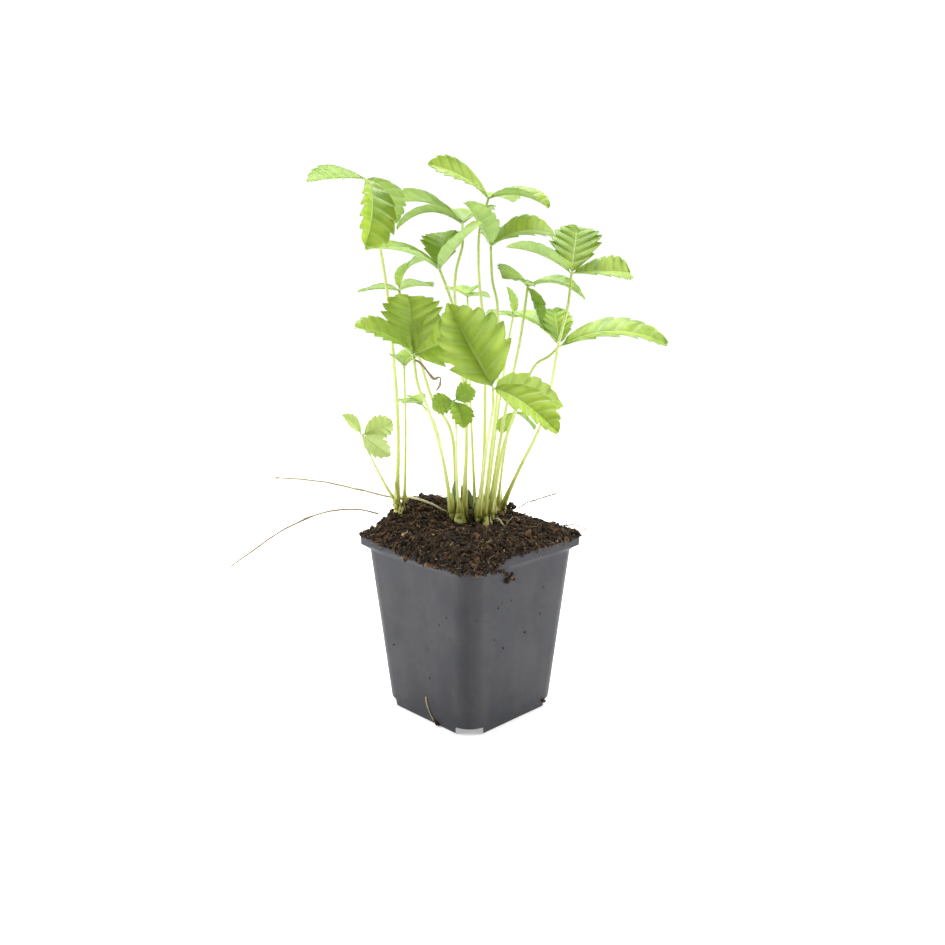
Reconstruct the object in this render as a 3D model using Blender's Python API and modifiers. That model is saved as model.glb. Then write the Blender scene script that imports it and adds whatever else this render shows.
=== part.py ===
"""Potted strawberry plant: a young plant with eighteen three-part leaves in a 9 cm square nursery pot.

Run with: blender --background --python part.py
Metres, +Z up. The origin is the middle of the pot's flat underside, and X and Y run square to its walls.
"""

import math

import bmesh
import bpy
from mathutils import Matrix, Vector

MM = 0.001

# Pot: outer sizes, in millimetres. The wall tapers, and its corners are rounder than the lip's.
POT_HEIGHT = 100.0
LIP_SIDE = 90.0
LIP_CORNER = 5.0
LIP_DEPTH = 6.0
WALL_SIDE_TOP = 86.4
WALL_SIDE_BOTTOM = 70.0
WALL_CORNER = 11.5
WALL_THICK = 1.2
NOTCH_WIDTH = 15.0
NOTCH_HEIGHT = 4.6
NOTCH_REACH = 22.0

# Soil: it fills the pot and is heaped above the lip, highest at the back left.
SOIL_GAP = 0.35
SOIL_EDGE = 98.4
SOIL_SIDE_POINTS = 5
SOIL_LEVEL = 105.0
HEAPS = (  # where the middle of each heap is, how far it spreads, and its height
    ((-30.0, 18.0), (24.0, 20.0), 12.5),
    ((5.0, 36.0), (22.0, 18.0), 6.0),
)

# The plant stands a turn of 45 degrees from the pot: its X runs to the pot's corner.
# Everything below is in millimetres in the plant's own turned frame.
PLANT_TURN = math.radians(-45.0)

# Crowns: the short woody stems that the leaf stalks spring from, half buried. Each has the place of its
# middle, its radius and the height of its top.
CROWN_DEPTH = 6.0
CROWNS = {
    "crown_left": ((-39.5, 5.5), 4.6, 116.8),
    "crown_middle": ((-6.5, 4.0), 6.4, 112.6),
    "crown_main": ((7.5, 4.5), 6.6, 110.6),
    "crown_right": ((17.5, 21.0), 4.6, 112.0),
}

# Leaves: the route of the stalk from the crown to the hub where the three leaflets meet, then each leaflet's
# tip, greatest width, roll about its midrib in degrees, arch as a share of its length, and fold in degrees.
LEAVES = {
    "leaf_01": (
        [(-41, 4, 117), (-40, 7, 160), (-42, 8, 198), (-44, 1, 232), (-48, -3, 262), (-54, -4, 292)],
        [
            ((-86, 6, 291), 19, 12, 0.04, 20),
            ((-52, -30, 257), 24, -40, 0.13, 26),
            ((-40, 10, 270), 22, -25, 0.10, 14),
        ],
    ),
    "leaf_02": (
        [(5, 8, 111), (8, 12, 146), (8, 18, 207), (5, 22, 240), (5, 22, 266), (10, 20, 284)],
        [
            ((-22, 6, 300), 21, -42, 0.08, 16),
            ((42, 8, 278), 18, 12, 0.12, 22),
            ((24, 50, 284), 22, 0, 0.06, 14),
        ],
    ),
    "leaf_03": (
        [(8, 1, 111), (11, 1, 142), (15, 3, 180), (15, 3, 224), (12, 3, 240), (11, 0, 258)],
        [
            ((-2, -13, 279), 24, -10, 0.06, 16),
            ((46, 12, 264), 24, 28, 0.14, 14),
            ((22, 36, 268), 22, 0, 0.06, 14),
        ],
    ),
    "leaf_04": (
        [(19, 19, 113), (27, 14, 133), (39, 6, 161), (44, 0, 183), (47, -3, 204), (52, -4, 227), (54, 0, 244)],
        [
            ((19, -13, 257), 18, 8, 0.08, 18),
            ((59, 26, 269), 28, 6, 0.02, 16),
            ((87, 14, 244), 20, 38, 0.03, 12),
        ],
    ),
    "leaf_05": (
        [(-3, 3, 113), (-2, 5, 159), (-3, 12, 206), (-9, 8, 226), (-13, 1, 238), (-16, -4, 246)],
        [
            ((-53, -20, 256), 20, -15, 0.10, 16),
            ((-14, 28, 266), 22, 0, 0.06, 16),
            ((6, -30, 268), 18, 25, 0.04, 18),
        ],
    ),
    "leaf_06": (
        [(-4, 8, 113), (-2, 11, 157), (-6, 6, 207), (-8, -3, 232), (-7, -3, 246), (-4, 4, 258), (-4, 14, 270)],
        [
            ((-39, 8, 267), 17, 10, 0.22, 14),
            ((-48, 34, 280), 24, 8, 0.15, 14),
            ((6, 54, 276), 22, 0, 0.10, 14),
        ],
    ),
    "leaf_07": (
        [(-8, 8, 113), (-10, 9, 155), (-21, 12, 175), (-28, 15, 197), (-35, 16, 219), (-39, 14, 235)],
        [
            ((-60, 4, 234), 12, 10, 0.06, 14),
            ((-20, 0, 237), 14, -10, 0.06, 14),
            ((-25, 34, 251), 15, -20, 0.16, 18),
        ],
    ),
    "leaf_08": (
        [(-10, 1, 113), (-15, -6, 146), (-22, -14, 173), (-27, -18, 186), (-29, -22, 202)],
        [
            ((-57, -36, 217), 23, -25, 0.10, 14),
            ((-32, -6, 232), 31, -4, 0.02, 16),
            ((-2, -8, 213), 30, 58, 0.03, 12),
        ],
    ),
    "leaf_09": (
        [(5, 0, 111), (9, -16, 152), (12, -32, 175), (12, -44, 188)],
        [
            ((-11, -30, 229), 35, -50, -0.02, 16),
            ((43, -62, 168), 24, 20, 0.08, 16),
            ((49, -26, 176), 26, 38, 0.03, 14),
        ],
    ),
    "leaf_10": (
        [(11, 8, 111), (16, 14, 145), (21, 19, 173), (28, 24, 207), (32, 24, 237)],
        [
            ((17, -1, 242), 23, -30, 0.06, 14),
            ((63, 18, 230), 16, 8, 0.16, 16),
            ((39, 24, 216), 11, 40, 0.04, 24),
        ],
    ),
    "leaf_11": (
        [(12, 4, 111), (18, 10, 146), (24, 15, 163), (35, 20, 191), (44, 21, 198), (50, 20, 204)],
        [
            ((110, 20, 205), 21, 10, 0.14, 14),
            ((48, 40, 224), 20, 0, 0.04, 22),
            ((25, 44, 222), 19, 0, 0.08, 18),
        ],
    ),
    "leaf_12": (
        [(3, 5, 111), (0, 30, 172), (-1, 42, 212), (-2, 46, 231)],
        [
            ((-15, 50, 235), 11, 0, 0.08, 14),
            ((11, 50, 230), 12, 0, 0.08, 14),
            ((0, 67, 235), 13, 0, 0.08, 14),
        ],
    ),
    "leaf_13": (
        [(9, 8, 111), (17, 36, 171), (22, 48, 203), (25, 54, 219)],
        [
            ((21, 56, 236), 12, 0, 0.05, 20),
            ((10, 66, 219), 14, 0, 0.06, 14),
            ((38, 72, 214), 15, 0, 0.06, 14),
        ],
    ),
    "leaf_14": (
        [(16, 24, 113), (20, 26, 144), (25, 28, 166)],
        [
            ((37, 30, 155), 13, 0, 0.08, 14),
            ((18, 20, 154), 11, 0, 0.08, 14),
            ((31, 46, 168), 15, 0, 0.08, 14),
        ],
    ),
    "leaf_15": (
        [(-6, 0, 113), (-7, -11, 134), (-7, -20, 163), (-8, -24, 179)],
        [
            ((-19, -27, 175), 13, -60, 0.06, 20),
            ((3, -23, 184), 12, 60, 0.06, 20),
            ((-3, -34, 166), 14, 0, 0.06, 20),
        ],
    ),
    "leaf_16": (
        [(-11, 5, 113), (-16, 11, 146), (-21, 16, 163), (-27, 18, 171)],
        [
            ((-38, 10, 173), 10, 0, 0.08, 14),
            ((-44, 24, 172), 11, 0, 0.08, 14),
            ((-34, 33, 174), 11, 0, 0.08, 14),
        ],
    ),
    "leaf_17": (
        [(-42, 7, 117.4), (-47, 4, 127), (-54, 0, 143), (-59, -2, 157)],
        [
            ((-69, -8, 169), 9, -50, 0.06, 14),
            ((-43, 6, 163), 14, 60, 0.06, 14),
            ((-43, -10, 147), 12, 60, 0.06, 14),
        ],
    ),
    "leaf_18": (
        [(-37, 7, 117), (-36, 9, 158), (-36, 5, 194)],
        [
            ((-43, -3, 201), 8, 0, 0.06, 14),
            ((-28, 0, 200), 8, 0, 0.06, 14),
            ((-35, 17, 202), 9, 0, 0.06, 14),
        ],
    ),
}
STALK_FOOT = 0.85
STALK_TOP = 0.5
STALK_STEPS = 9
BLADE_THICK = 0.5
HUB_RADIUS = 0.75
HUB_GAP = 1.15
LEAFLET_START = 0.15
LEAFLET_FOOT = 0.45
# Down a leaflet: how far along the midrib, and how wide there as a share of the greatest width.
LEAFLET_ROWS = ((0.14, 0.3), (0.36, 0.74), (0.62, 1.0), (0.84, 0.8), (1.0, 0.3))

# Strands that the plant has sent out over the lip: route and radius.
STRANDS = {
    "runner_pale": ([(-112, -6, 130), (-97, 0, 127), (-70, 8, 124), (-45, 16, 120), (-31, 15, 117.8)], 0.6),
    "runner_brown": ([(-127, -36, 91), (-92, -24, 107), (-73, -14, 115), (-62, -4, 115), (-50, 0, 111.5)], 0.6),
    "runner_short": ([(30, 24, 109.4), (38, 22, 111.5), (46, 19, 114)], 0.5),
}
YOUNG_SHOOTS = {
    "young_shoot_1": ([(-8.5, 4.5, 113.4), (-9, 5, 121), (-8.5, 5, 130)], 0.9),
    "young_shoot_2": ([(2, 8.5, 111.2), (0, 11, 118), (-1, 11, 124)], 0.9),
}


def remove_scene_objects():
    for thing in list(bpy.data.objects):
        bpy.data.objects.remove(thing, do_unlink=True)


def collection(name):
    made = bpy.data.collections.new(name)
    bpy.context.scene.collection.children.link(made)
    return made


def material(name, colour, roughness):
    made = bpy.data.materials.new(name)
    made.use_nodes = True
    shader = made.node_tree.nodes["Principled BSDF"]
    shader.inputs["Base Color"].default_value = (*colour, 1.0)
    shader.inputs["Roughness"].default_value = roughness
    return made


def turned(point):
    """A point of the plant's frame, in millimetres, as metres in the pot's frame."""
    return Matrix.Rotation(PLANT_TURN, 3, "Z") @ Vector(point) * MM


def object_from(name, mesh, look, group):
    mesh.materials.append(look)
    made = bpy.data.objects.new(name, mesh)
    group.objects.link(made)
    return made


def mesh_from(name, build):
    """Makes a mesh from a bmesh that the given function fills in."""
    work = bmesh.new()
    build(work)
    bmesh.ops.recalc_face_normals(work, faces=work.faces)
    mesh = bpy.data.meshes.new(name)
    work.to_mesh(mesh)
    work.free()
    return mesh


def rounded_square(side, corner, steps=4, along=0):
    """Points in millimetres of a square with round corners, anticlockwise, with more along each side if asked."""
    points = []
    inner = side / 2 - corner
    for quarter in range(4):
        sx = (1, -1, -1, 1)[quarter]
        sy = (1, 1, -1, -1)[quarter]
        for step in range(steps + 1):
            angle = math.pi / 2 * (quarter + step / steps)
            points.append((sx * inner + corner * math.cos(angle), sy * inner + corner * math.sin(angle)))
        start = Vector(points[-1])
        run = Vector((-math.cos(angle - math.pi / 2), -math.sin(angle - math.pi / 2))) * 2 * inner
        points += [tuple(start + run * (k + 1) / (along + 1)) for k in range(along)]
    return points


def add_ring(work, outline, height):
    return [work.verts.new((x * MM, y * MM, height * MM)) for x, y in outline]


def join_rings(work, lower, upper):
    count = len(lower)
    for i in range(count):
        j = (i + 1) % count
        work.faces.new((lower[i], lower[j], upper[j], upper[i]))


def wall_side(height):
    return WALL_SIDE_BOTTOM + (WALL_SIDE_TOP - WALL_SIDE_BOTTOM) * height / (POT_HEIGHT - LIP_DEPTH)


def fill_pot(work):
    """The pot as one wall: up the outside, round the lip and down the inside to the floor."""
    under_lip = POT_HEIGHT - LIP_DEPTH
    inner_corner = WALL_CORNER - WALL_THICK
    top_side = wall_side(POT_HEIGHT) - 2 * WALL_THICK
    floor_side = wall_side(WALL_THICK) - 2 * WALL_THICK
    rings = [
        add_ring(work, rounded_square(WALL_SIDE_BOTTOM, WALL_CORNER), 0),
        add_ring(work, rounded_square(WALL_SIDE_TOP, WALL_CORNER), under_lip),
        add_ring(work, rounded_square(LIP_SIDE, LIP_CORNER), under_lip),
        add_ring(work, rounded_square(LIP_SIDE, LIP_CORNER), POT_HEIGHT),
        add_ring(work, rounded_square(top_side, inner_corner), POT_HEIGHT),
        add_ring(work, rounded_square(floor_side, inner_corner), WALL_THICK),
    ]
    for lower, upper in zip(rings, rings[1:]):
        join_rings(work, lower, upper)
    work.faces.new(rings[0])
    work.faces.new(rings[-1])


def fill_notch_cutters(work):
    """Four blocks, one across each bottom corner, that open the drain slots."""
    length = WALL_SIDE_BOTTOM
    for quarter in range(4):
        turn = Matrix.Rotation(math.pi / 4 + math.pi / 2 * quarter, 4, "Z")
        place = Matrix.Translation(Vector((NOTCH_REACH + length / 2, 0, 0)) * MM)
        size = Matrix.Diagonal(Vector((length, NOTCH_WIDTH, 2 * NOTCH_HEIGHT, 1000.0)) * MM)
        bmesh.ops.create_cube(work, size=1.0, matrix=turn @ place @ size)


def soil_height(x, y):
    """Height of the heaped soil at a point of the plant's frame, in millimetres."""
    height = SOIL_LEVEL
    for (cx, cy), (wide, deep), rise in HEAPS:
        height += rise * math.exp(-(((x - cx) / wide) ** 2) - ((y - cy) / deep) ** 2)
    return height


def fill_soil(work):
    """The soil as rings: up the pot's inside, then inwards over the heap to its middle."""
    floor = WALL_THICK + SOIL_GAP
    corner = WALL_CORNER - WALL_THICK - SOIL_GAP
    shrink = 2 * (WALL_THICK + SOIL_GAP)
    edge = rounded_square(wall_side(SOIL_EDGE) - shrink, corner, 3, SOIL_SIDE_POINTS)
    rings = [
        add_ring(work, rounded_square(wall_side(floor) - shrink, corner, 3, SOIL_SIDE_POINTS), floor),
        add_ring(work, edge, SOIL_EDGE),
    ]
    back = Matrix.Rotation(-PLANT_TURN, 3, "Z")
    for share in (0.95, 0.84, 0.68, 0.5, 0.32, 0.15):
        ring = []
        for x, y in edge:
            point = Vector((x, y, 0)) * share
            inside = back @ point
            climb = min(1.0, (1.0 - share) / 0.16)
            height = SOIL_EDGE + 2.0 + (soil_height(inside.x, inside.y) - SOIL_EDGE - 2.0) * climb
            ring.append(work.verts.new((point.x * MM, point.y * MM, height * MM)))
        rings.append(ring)
    for lower, upper in zip(rings, rings[1:]):
        join_rings(work, lower, upper)
    work.faces.new(rings[0])
    middle = work.verts.new((0, 0, soil_height(0, 0) * MM))
    last = rings[-1]
    for i, corner_point in enumerate(last):
        work.faces.new((corner_point, last[(i + 1) % len(last)], middle))


def crown_profile(radius, low, high):
    """A squat knob's half outline, from the top down its outer side: widest at the soil, narrow below."""
    tall = high - low
    return [
        (0.0, high),
        (0.75 * radius, high - 0.03 * tall),
        (0.95 * radius, high - 0.2 * tall),
        (radius, high - 0.5 * tall),
        (0.6 * radius, low),
        (0.0, low),
    ]


def add_turned(name, middle, profile, look, group):
    """A solid turned from a half outline about a vertical line through a place in the plant's frame."""
    mesh = bpy.data.meshes.new(name)
    points = [Vector((r, 0, z)) * MM for r, z in profile]
    mesh.from_pydata(points, [(i, i + 1) for i in range(len(points) - 1)], [])
    made = object_from(name, mesh, look, group)
    made.location = turned((*middle, 0))
    screw = made.modifiers.new("Turn", "SCREW")
    screw.steps = 12
    screw.render_steps = 12
    screw.use_merge_vertices = True
    screw.merge_threshold = 0.00001
    return made


def smooth_route(points, steps):
    """Points at even shares of a smooth curve through the given ones."""
    stops = [Vector(p) for p in points]
    ends = [2 * stops[0] - stops[1]] + stops + [2 * stops[-1] - stops[-2]]
    fine = []
    for i in range(1, len(ends) - 2):
        a, b, c, d = ends[i - 1:i + 3]
        for k in range(16):
            t = k / 16
            fine.append(0.5 * (2 * b + (c - a) * t + (2 * a - 5 * b + 4 * c - d) * t ** 2
                               + (3 * b - a - 3 * c + d) * t ** 3))
    fine.append(stops[-1])
    lengths = [0.0]
    for p, q in zip(fine, fine[1:]):
        lengths.append(lengths[-1] + (q - p).length)
    route = []
    at = 0
    for step in range(steps + 1):
        wanted = lengths[-1] * step / steps
        while at < len(fine) - 2 and lengths[at + 1] < wanted:
            at += 1
        share = (wanted - lengths[at]) / (lengths[at + 1] - lengths[at])
        route.append(fine[at].lerp(fine[at + 1], share))
    return route


def add_stalk(name, points, foot, tip, steps, look, group):
    """A tapering round stalk as a bevelled curve."""
    curve = bpy.data.curves.new(name, "CURVE")
    curve.dimensions = "3D"
    curve.bevel_depth = foot * MM
    curve.bevel_resolution = 1
    curve.use_fill_caps = True
    curve.materials.append(look)
    line = curve.splines.new("POLY")
    route = smooth_route(points, steps)
    line.points.add(len(route) - 1)
    for i, point in enumerate(route):
        line.points[i].co = (*turned(point), 1.0)
        line.points[i].radius = 1.0 + (tip / foot - 1.0) * i / steps
    made = bpy.data.objects.new(name, curve)
    group.objects.link(made)
    return made


def fill_leaflet(work, hub, tip, width, roll, arch, fold):
    """One leaflet as an open sheet from the hub to its tip, bent along its arch and folded at the midrib."""
    hub = Vector(hub)
    tip = Vector(tip)
    run = tip - hub
    way = run.normalized()
    up = Vector((0, 0, 1))
    normal = Matrix.Rotation(math.radians(roll), 3, way) @ (up - way * up.dot(way)).normalized()
    crest = (hub + tip) / 2 + normal * (2 * arch * run.length)
    start = hub + (crest - hub).normalized() * LEAFLET_START
    angle = math.radians(fold)
    widths = [(0.0, LEAFLET_FOOT)] + [(share, wide * width / 2) for share, wide in LEAFLET_ROWS]
    rows = []
    for share, half in widths:
        middle = start.lerp(crest, share).lerp(crest.lerp(tip, share), share)
        along = (crest - start).lerp(tip - crest, share).normalized()
        side = along.cross(normal).normalized()
        lift = side.cross(along).normalized()
        points = []
        for across in (-1.0, -0.5, 0.0, 0.5, 1.0):
            off = side * across * half * math.cos(angle)
            rise = lift * abs(across) * half * math.sin(angle)
            points.append(work.verts.new(turned(middle + off + rise)))
        rows.append(points)
    for low, high in zip(rows, rows[1:]):
        for i in range(4):
            work.faces.new((low[i], low[i + 1], high[i + 1], high[i]))


def fill_hub(work, hub):
    """The small knot of tissue at the top of the stalk that the leaflets grow from."""
    place = Matrix.Translation(turned(hub))
    bmesh.ops.create_icosphere(work, subdivisions=2, radius=HUB_RADIUS * MM, matrix=place)


def add_blade(name, hub, leaflets, look, group, joined):
    """A leaf's blade: its hub with three leaflets joined to it, each a sheet given its thickness."""
    blade = object_from(name, mesh_from(name, lambda work: fill_hub(work, hub)), look, group)
    for number, shape in enumerate(leaflets, 1):
        part = f"{name}_leaflet_{number}"
        sheet = mesh_from(part, lambda work: fill_leaflet(work, hub, *shape))
        leaflet = object_from(part, sheet, look, joined)
        leaflet.hide_render = True
        leaflet.display_type = "WIRE"
        shell = leaflet.modifiers.new("Thickness", "SOLIDIFY")
        shell.thickness = BLADE_THICK * MM
        shell.offset = 0.0
        join = blade.modifiers.new(part, "BOOLEAN")
        join.object = leaflet
        join.operation = "UNION"
        join.solver = "EXACT"
    blade.data.shade_smooth()
    return blade


def build_pot(group, cutters):
    plastic = material("pot_plastic", (0.12, 0.13, 0.135), 0.45)
    pot = object_from("pot", mesh_from("pot", fill_pot), plastic, group)
    slots = object_from("drain_slots", mesh_from("drain_slots", fill_notch_cutters), plastic, cutters)
    slots.hide_render = True
    slots.display_type = "WIRE"
    cut = pot.modifiers.new("Drain slots", "BOOLEAN")
    cut.object = slots
    cut.operation = "DIFFERENCE"
    cut.solver = "EXACT"


def build_soil(group, cutters):
    """The soil, with a socket in it for each crown."""
    peat = material("peat", (0.045, 0.025, 0.015), 0.95)
    soil = object_from("soil", mesh_from("soil", fill_soil), peat, group)
    for name, (middle, radius, top) in CROWNS.items():
        wide = radius + SOIL_GAP
        low = soil_height(*middle) - CROWN_DEPTH - SOIL_GAP
        high = top + CROWN_DEPTH
        outline = [(0.0, high), (wide, high), (wide, (low + top) / 2), (0.6 * wide, low), (0.0, low)]
        socket = add_turned(name + "_socket", middle, outline, peat, cutters)
        socket.hide_render = True
        socket.display_type = "WIRE"
        cut = soil.modifiers.new(name, "BOOLEAN")
        cut.object = socket
        cut.operation = "DIFFERENCE"
        cut.solver = "EXACT"


def build_crowns(group):
    look = material("crown_tissue", (0.45, 0.42, 0.16), 0.6)
    for name, (middle, radius, top) in CROWNS.items():
        low = soil_height(*middle) - CROWN_DEPTH
        add_turned(name, middle, crown_profile(radius, low, top), look, group)


def build_leaves(group, joined):
    stalk_look = material("leaf_stalk", (0.66, 0.72, 0.32), 0.5)
    blade_look = material("leaf_blade", (0.28, 0.5, 0.06), 0.5)
    for name, (route, leaflets) in LEAVES.items():
        hub = route[-1]
        back = (Vector(route[-2]) - Vector(hub)).normalized() * HUB_GAP
        stalk = route[:-1] + [tuple(Vector(hub) + back)]
        add_stalk(name + "_stalk", stalk, STALK_FOOT, STALK_TOP, STALK_STEPS, stalk_look, group)
        add_blade(name + "_blade", hub, leaflets, blade_look, group, joined)


def build_strands(group):
    look = material("dried_runner", (0.42, 0.3, 0.18), 0.7)
    for name, (route, radius) in STRANDS.items():
        add_stalk(name, route, radius, 0.6 * radius, 10, look, group)


def build_young_shoots(group):
    look = material("young_shoot", (0.16, 0.24, 0.1), 0.6)
    for name, (route, radius) in YOUNG_SHOOTS.items():
        add_stalk(name, route, radius, 0.5 * radius, 4, look, group)


remove_scene_objects()
plant = collection("potted_strawberry_plant")
tools = collection("cutters")
build_pot(plant, tools)
build_soil(plant, tools)
build_crowns(plant)
build_leaves(plant, tools)
build_strands(plant)
build_young_shoots(plant)
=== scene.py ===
"""Looks of the potted strawberry plant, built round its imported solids.
Metres, +Z up, origin under the middle of the pot."""

import math
import random

import bmesh
import bpy
import numpy as np
from mathutils import Matrix, Vector, noise


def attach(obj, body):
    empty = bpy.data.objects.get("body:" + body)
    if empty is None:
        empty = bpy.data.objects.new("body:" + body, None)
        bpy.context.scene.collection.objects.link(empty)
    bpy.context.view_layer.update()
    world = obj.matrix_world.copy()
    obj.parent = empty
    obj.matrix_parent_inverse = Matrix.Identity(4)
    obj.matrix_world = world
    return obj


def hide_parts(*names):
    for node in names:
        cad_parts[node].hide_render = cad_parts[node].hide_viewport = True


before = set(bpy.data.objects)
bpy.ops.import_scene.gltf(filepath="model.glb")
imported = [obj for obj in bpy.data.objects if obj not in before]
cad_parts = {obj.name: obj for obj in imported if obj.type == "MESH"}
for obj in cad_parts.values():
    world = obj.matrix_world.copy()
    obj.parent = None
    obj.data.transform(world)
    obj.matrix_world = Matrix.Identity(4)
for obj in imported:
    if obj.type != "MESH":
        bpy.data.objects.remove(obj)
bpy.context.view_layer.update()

# ---------------------------------------------------------------------------------------------
# Nursery pot: a square thermoformed polypropylene pot, dark grey, with a turned-out lip and a
# drain slot across each bottom corner. It stands on its flat underside.

noise.seed_set(1)
MM = 0.001
POT_HEIGHT = 100.0
LIP_SIDE = 90.0
LIP_CORNER = 5.0
LIP_DEPTH = 6.0
WALL_SIDE_TOP = 86.4
WALL_SIDE_BOTTOM = 70.0
WALL_CORNER = 11.5
WALL_THICK = 1.2
SLOT_WIDTH = 15.0
SLOT_HEIGHT = 4.6
SLOT_REACH = 22.0
POT_GREY = "#25262C"
POT_DUST = "#454343"
BASE_ROUND = 1.6
TOP_ROUND = 0.7
LIP_FOOT = 1.4
THROAT_FLARE = 1.6


def linear(colour):
    """An sRGB hex colour as a linear RGBA tuple."""
    parts = [int(colour[i:i + 2], 16) / 255 for i in (1, 3, 5)]
    return tuple(p / 12.92 if p <= 0.04045 else ((p + 0.055) / 1.055) ** 2.4 for p in parts) + (1.0,)


def node(tree, kind, inputs=None, **settings):
    """Adds a node with its settings; each input is given a value or linked to a socket."""
    made = tree.nodes.new(kind)
    for name, value in settings.items():
        setattr(made, name, value)
    for name, value in (inputs or {}).items():
        if isinstance(value, bpy.types.NodeSocket):
            tree.links.new(value, made.inputs[name])
        else:
            made.inputs[name].default_value = value
    return made


def blank_material(name):
    made = bpy.data.materials.new(name)
    made.use_nodes = True
    made.node_tree.nodes.clear()
    return made, made.node_tree


def show(tree, shader):
    node(tree, "ShaderNodeOutputMaterial", {"Surface": shader})


def blended(tree, share, low, high):
    """A colour between two, each a hex colour or a socket."""
    low, high = (linear(end) if isinstance(end, str) else end for end in (low, high))
    return node(tree, "ShaderNodeMix", {0: share, 6: low, 7: high}, data_type="RGBA").outputs[2]


def stepped(tree, value, start, end, low=0.0, high=1.0):
    """A value smoothly remapped from one range to another."""
    return node(tree, "ShaderNodeMapRange",
                {"Value": value, "From Min": start, "From Max": end, "To Min": low, "To Max": high},
                interpolation_type="SMOOTHSTEP").outputs[0]


def noise_at(tree, at, scale, detail, roughness=0.5):
    """Noise from 0 to 1 at a place."""
    return node(tree, "ShaderNodeTexNoise", {"Vector": at, "Scale": scale, "Detail": detail,
                                             "Roughness": roughness}).outputs["Fac"]


def sum_of(tree, operation, first, second=0.5, **settings):
    """One step of arithmetic on sockets or numbers."""
    return node(tree, "ShaderNodeMath", {0: first, 1: second}, operation=operation, **settings).outputs[0]


def bumped(tree, height, strength, distance):
    return node(tree, "ShaderNodeBump", {"Height": height, "Strength": strength,
                                         "Distance": distance}).outputs[0]


def object_place(tree):
    return node(tree, "ShaderNodeTexCoord").outputs["Object"]


def surface_place(tree):
    return node(tree, "ShaderNodeUVMap", uv_map="surface").outputs[0]


def own_tone(tree):
    return node(tree, "ShaderNodeAttribute", attribute_name="tone").outputs["Fac"]


def stretched(tree, place_on, scale):
    return node(tree, "ShaderNodeMapping", {"Vector": place_on, "Scale": scale}).outputs[0]


def either(tree, share, low, high):
    """A number between two, by a socket."""
    return node(tree, "ShaderNodeMix", {0: share, 2: low, 3: high}, data_type="FLOAT").outputs[0]


def coated(tree, colour, roughness, ior, bump=None, sheen=0.0):
    """A surface shader: colour, dullness, refraction and, where they are given, relief and sheen."""
    made = node(tree, "ShaderNodeBsdfPrincipled", {"Base Color": colour, "Roughness": roughness,
                                                   "IOR": ior, "Sheen Weight": sheen})
    if bump:
        tree.links.new(bump, made.inputs["Normal"])
    return made.outputs[0]


def lit_through(tree, share, shader, colour, bump=None):
    """A shader mixed with a share of the light that falls on the far side and comes through."""
    glow = node(tree, "ShaderNodeBsdfTranslucent", {"Color": colour})
    if bump:
        tree.links.new(bump, glow.inputs["Normal"])
    return node(tree, "ShaderNodeMixShader", {0: share, 1: shader, 2: glow.outputs[0]}).outputs[0]


def face_outwards(mesh):
    work = bmesh.new()
    work.from_mesh(mesh)
    bmesh.ops.recalc_face_normals(work, faces=work.faces)
    work.to_mesh(mesh)
    work.free()


def mesh_object(name, verts, faces):
    mesh = bpy.data.meshes.new(name)
    mesh.from_pydata([tuple(v) for v in verts], [], faces)
    mesh.update()
    mesh.shade_smooth()
    made = bpy.data.objects.new(name, mesh)
    bpy.context.scene.collection.objects.link(made)
    return made


def place(piece, slot, *nodes):
    """Fixes a finished piece to the plant's one body, and hides the imported parts that it stands for."""
    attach(piece, "root")
    if nodes:
        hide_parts(*nodes)


def baked(piece):
    """The piece with its modifiers applied to a plain mesh."""
    graph = bpy.context.evaluated_depsgraph_get()
    mesh = bpy.data.meshes.new_from_object(piece.evaluated_get(graph))
    piece.modifiers.clear()
    old = piece.data
    piece.data = mesh
    bpy.data.meshes.remove(old)
    return piece


def rounded_square(side, corner, steps, along=0):
    """Points in millimetres of a square with round corners, anticlockwise."""
    points = []
    inner = side / 2 - corner
    for quarter in range(4):
        sx = (1, -1, -1, 1)[quarter]
        sy = (1, 1, -1, -1)[quarter]
        for step in range(steps + 1):
            angle = math.pi / 2 * (quarter + step / steps)
            points.append((sx * inner + corner * math.cos(angle), sy * inner + corner * math.sin(angle)))
        start = Vector(points[-1])
        turn = math.pi / 2 * quarter
        run = Vector((-math.cos(turn), -math.sin(turn))) * 2 * inner
        points += [tuple(start + run * (k + 1) / (along + 1)) for k in range(along)]
    return points


def wall_side(height):
    return WALL_SIDE_BOTTOM + (WALL_SIDE_TOP - WALL_SIDE_BOTTOM) * height / (POT_HEIGHT - LIP_DEPTH)


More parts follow.
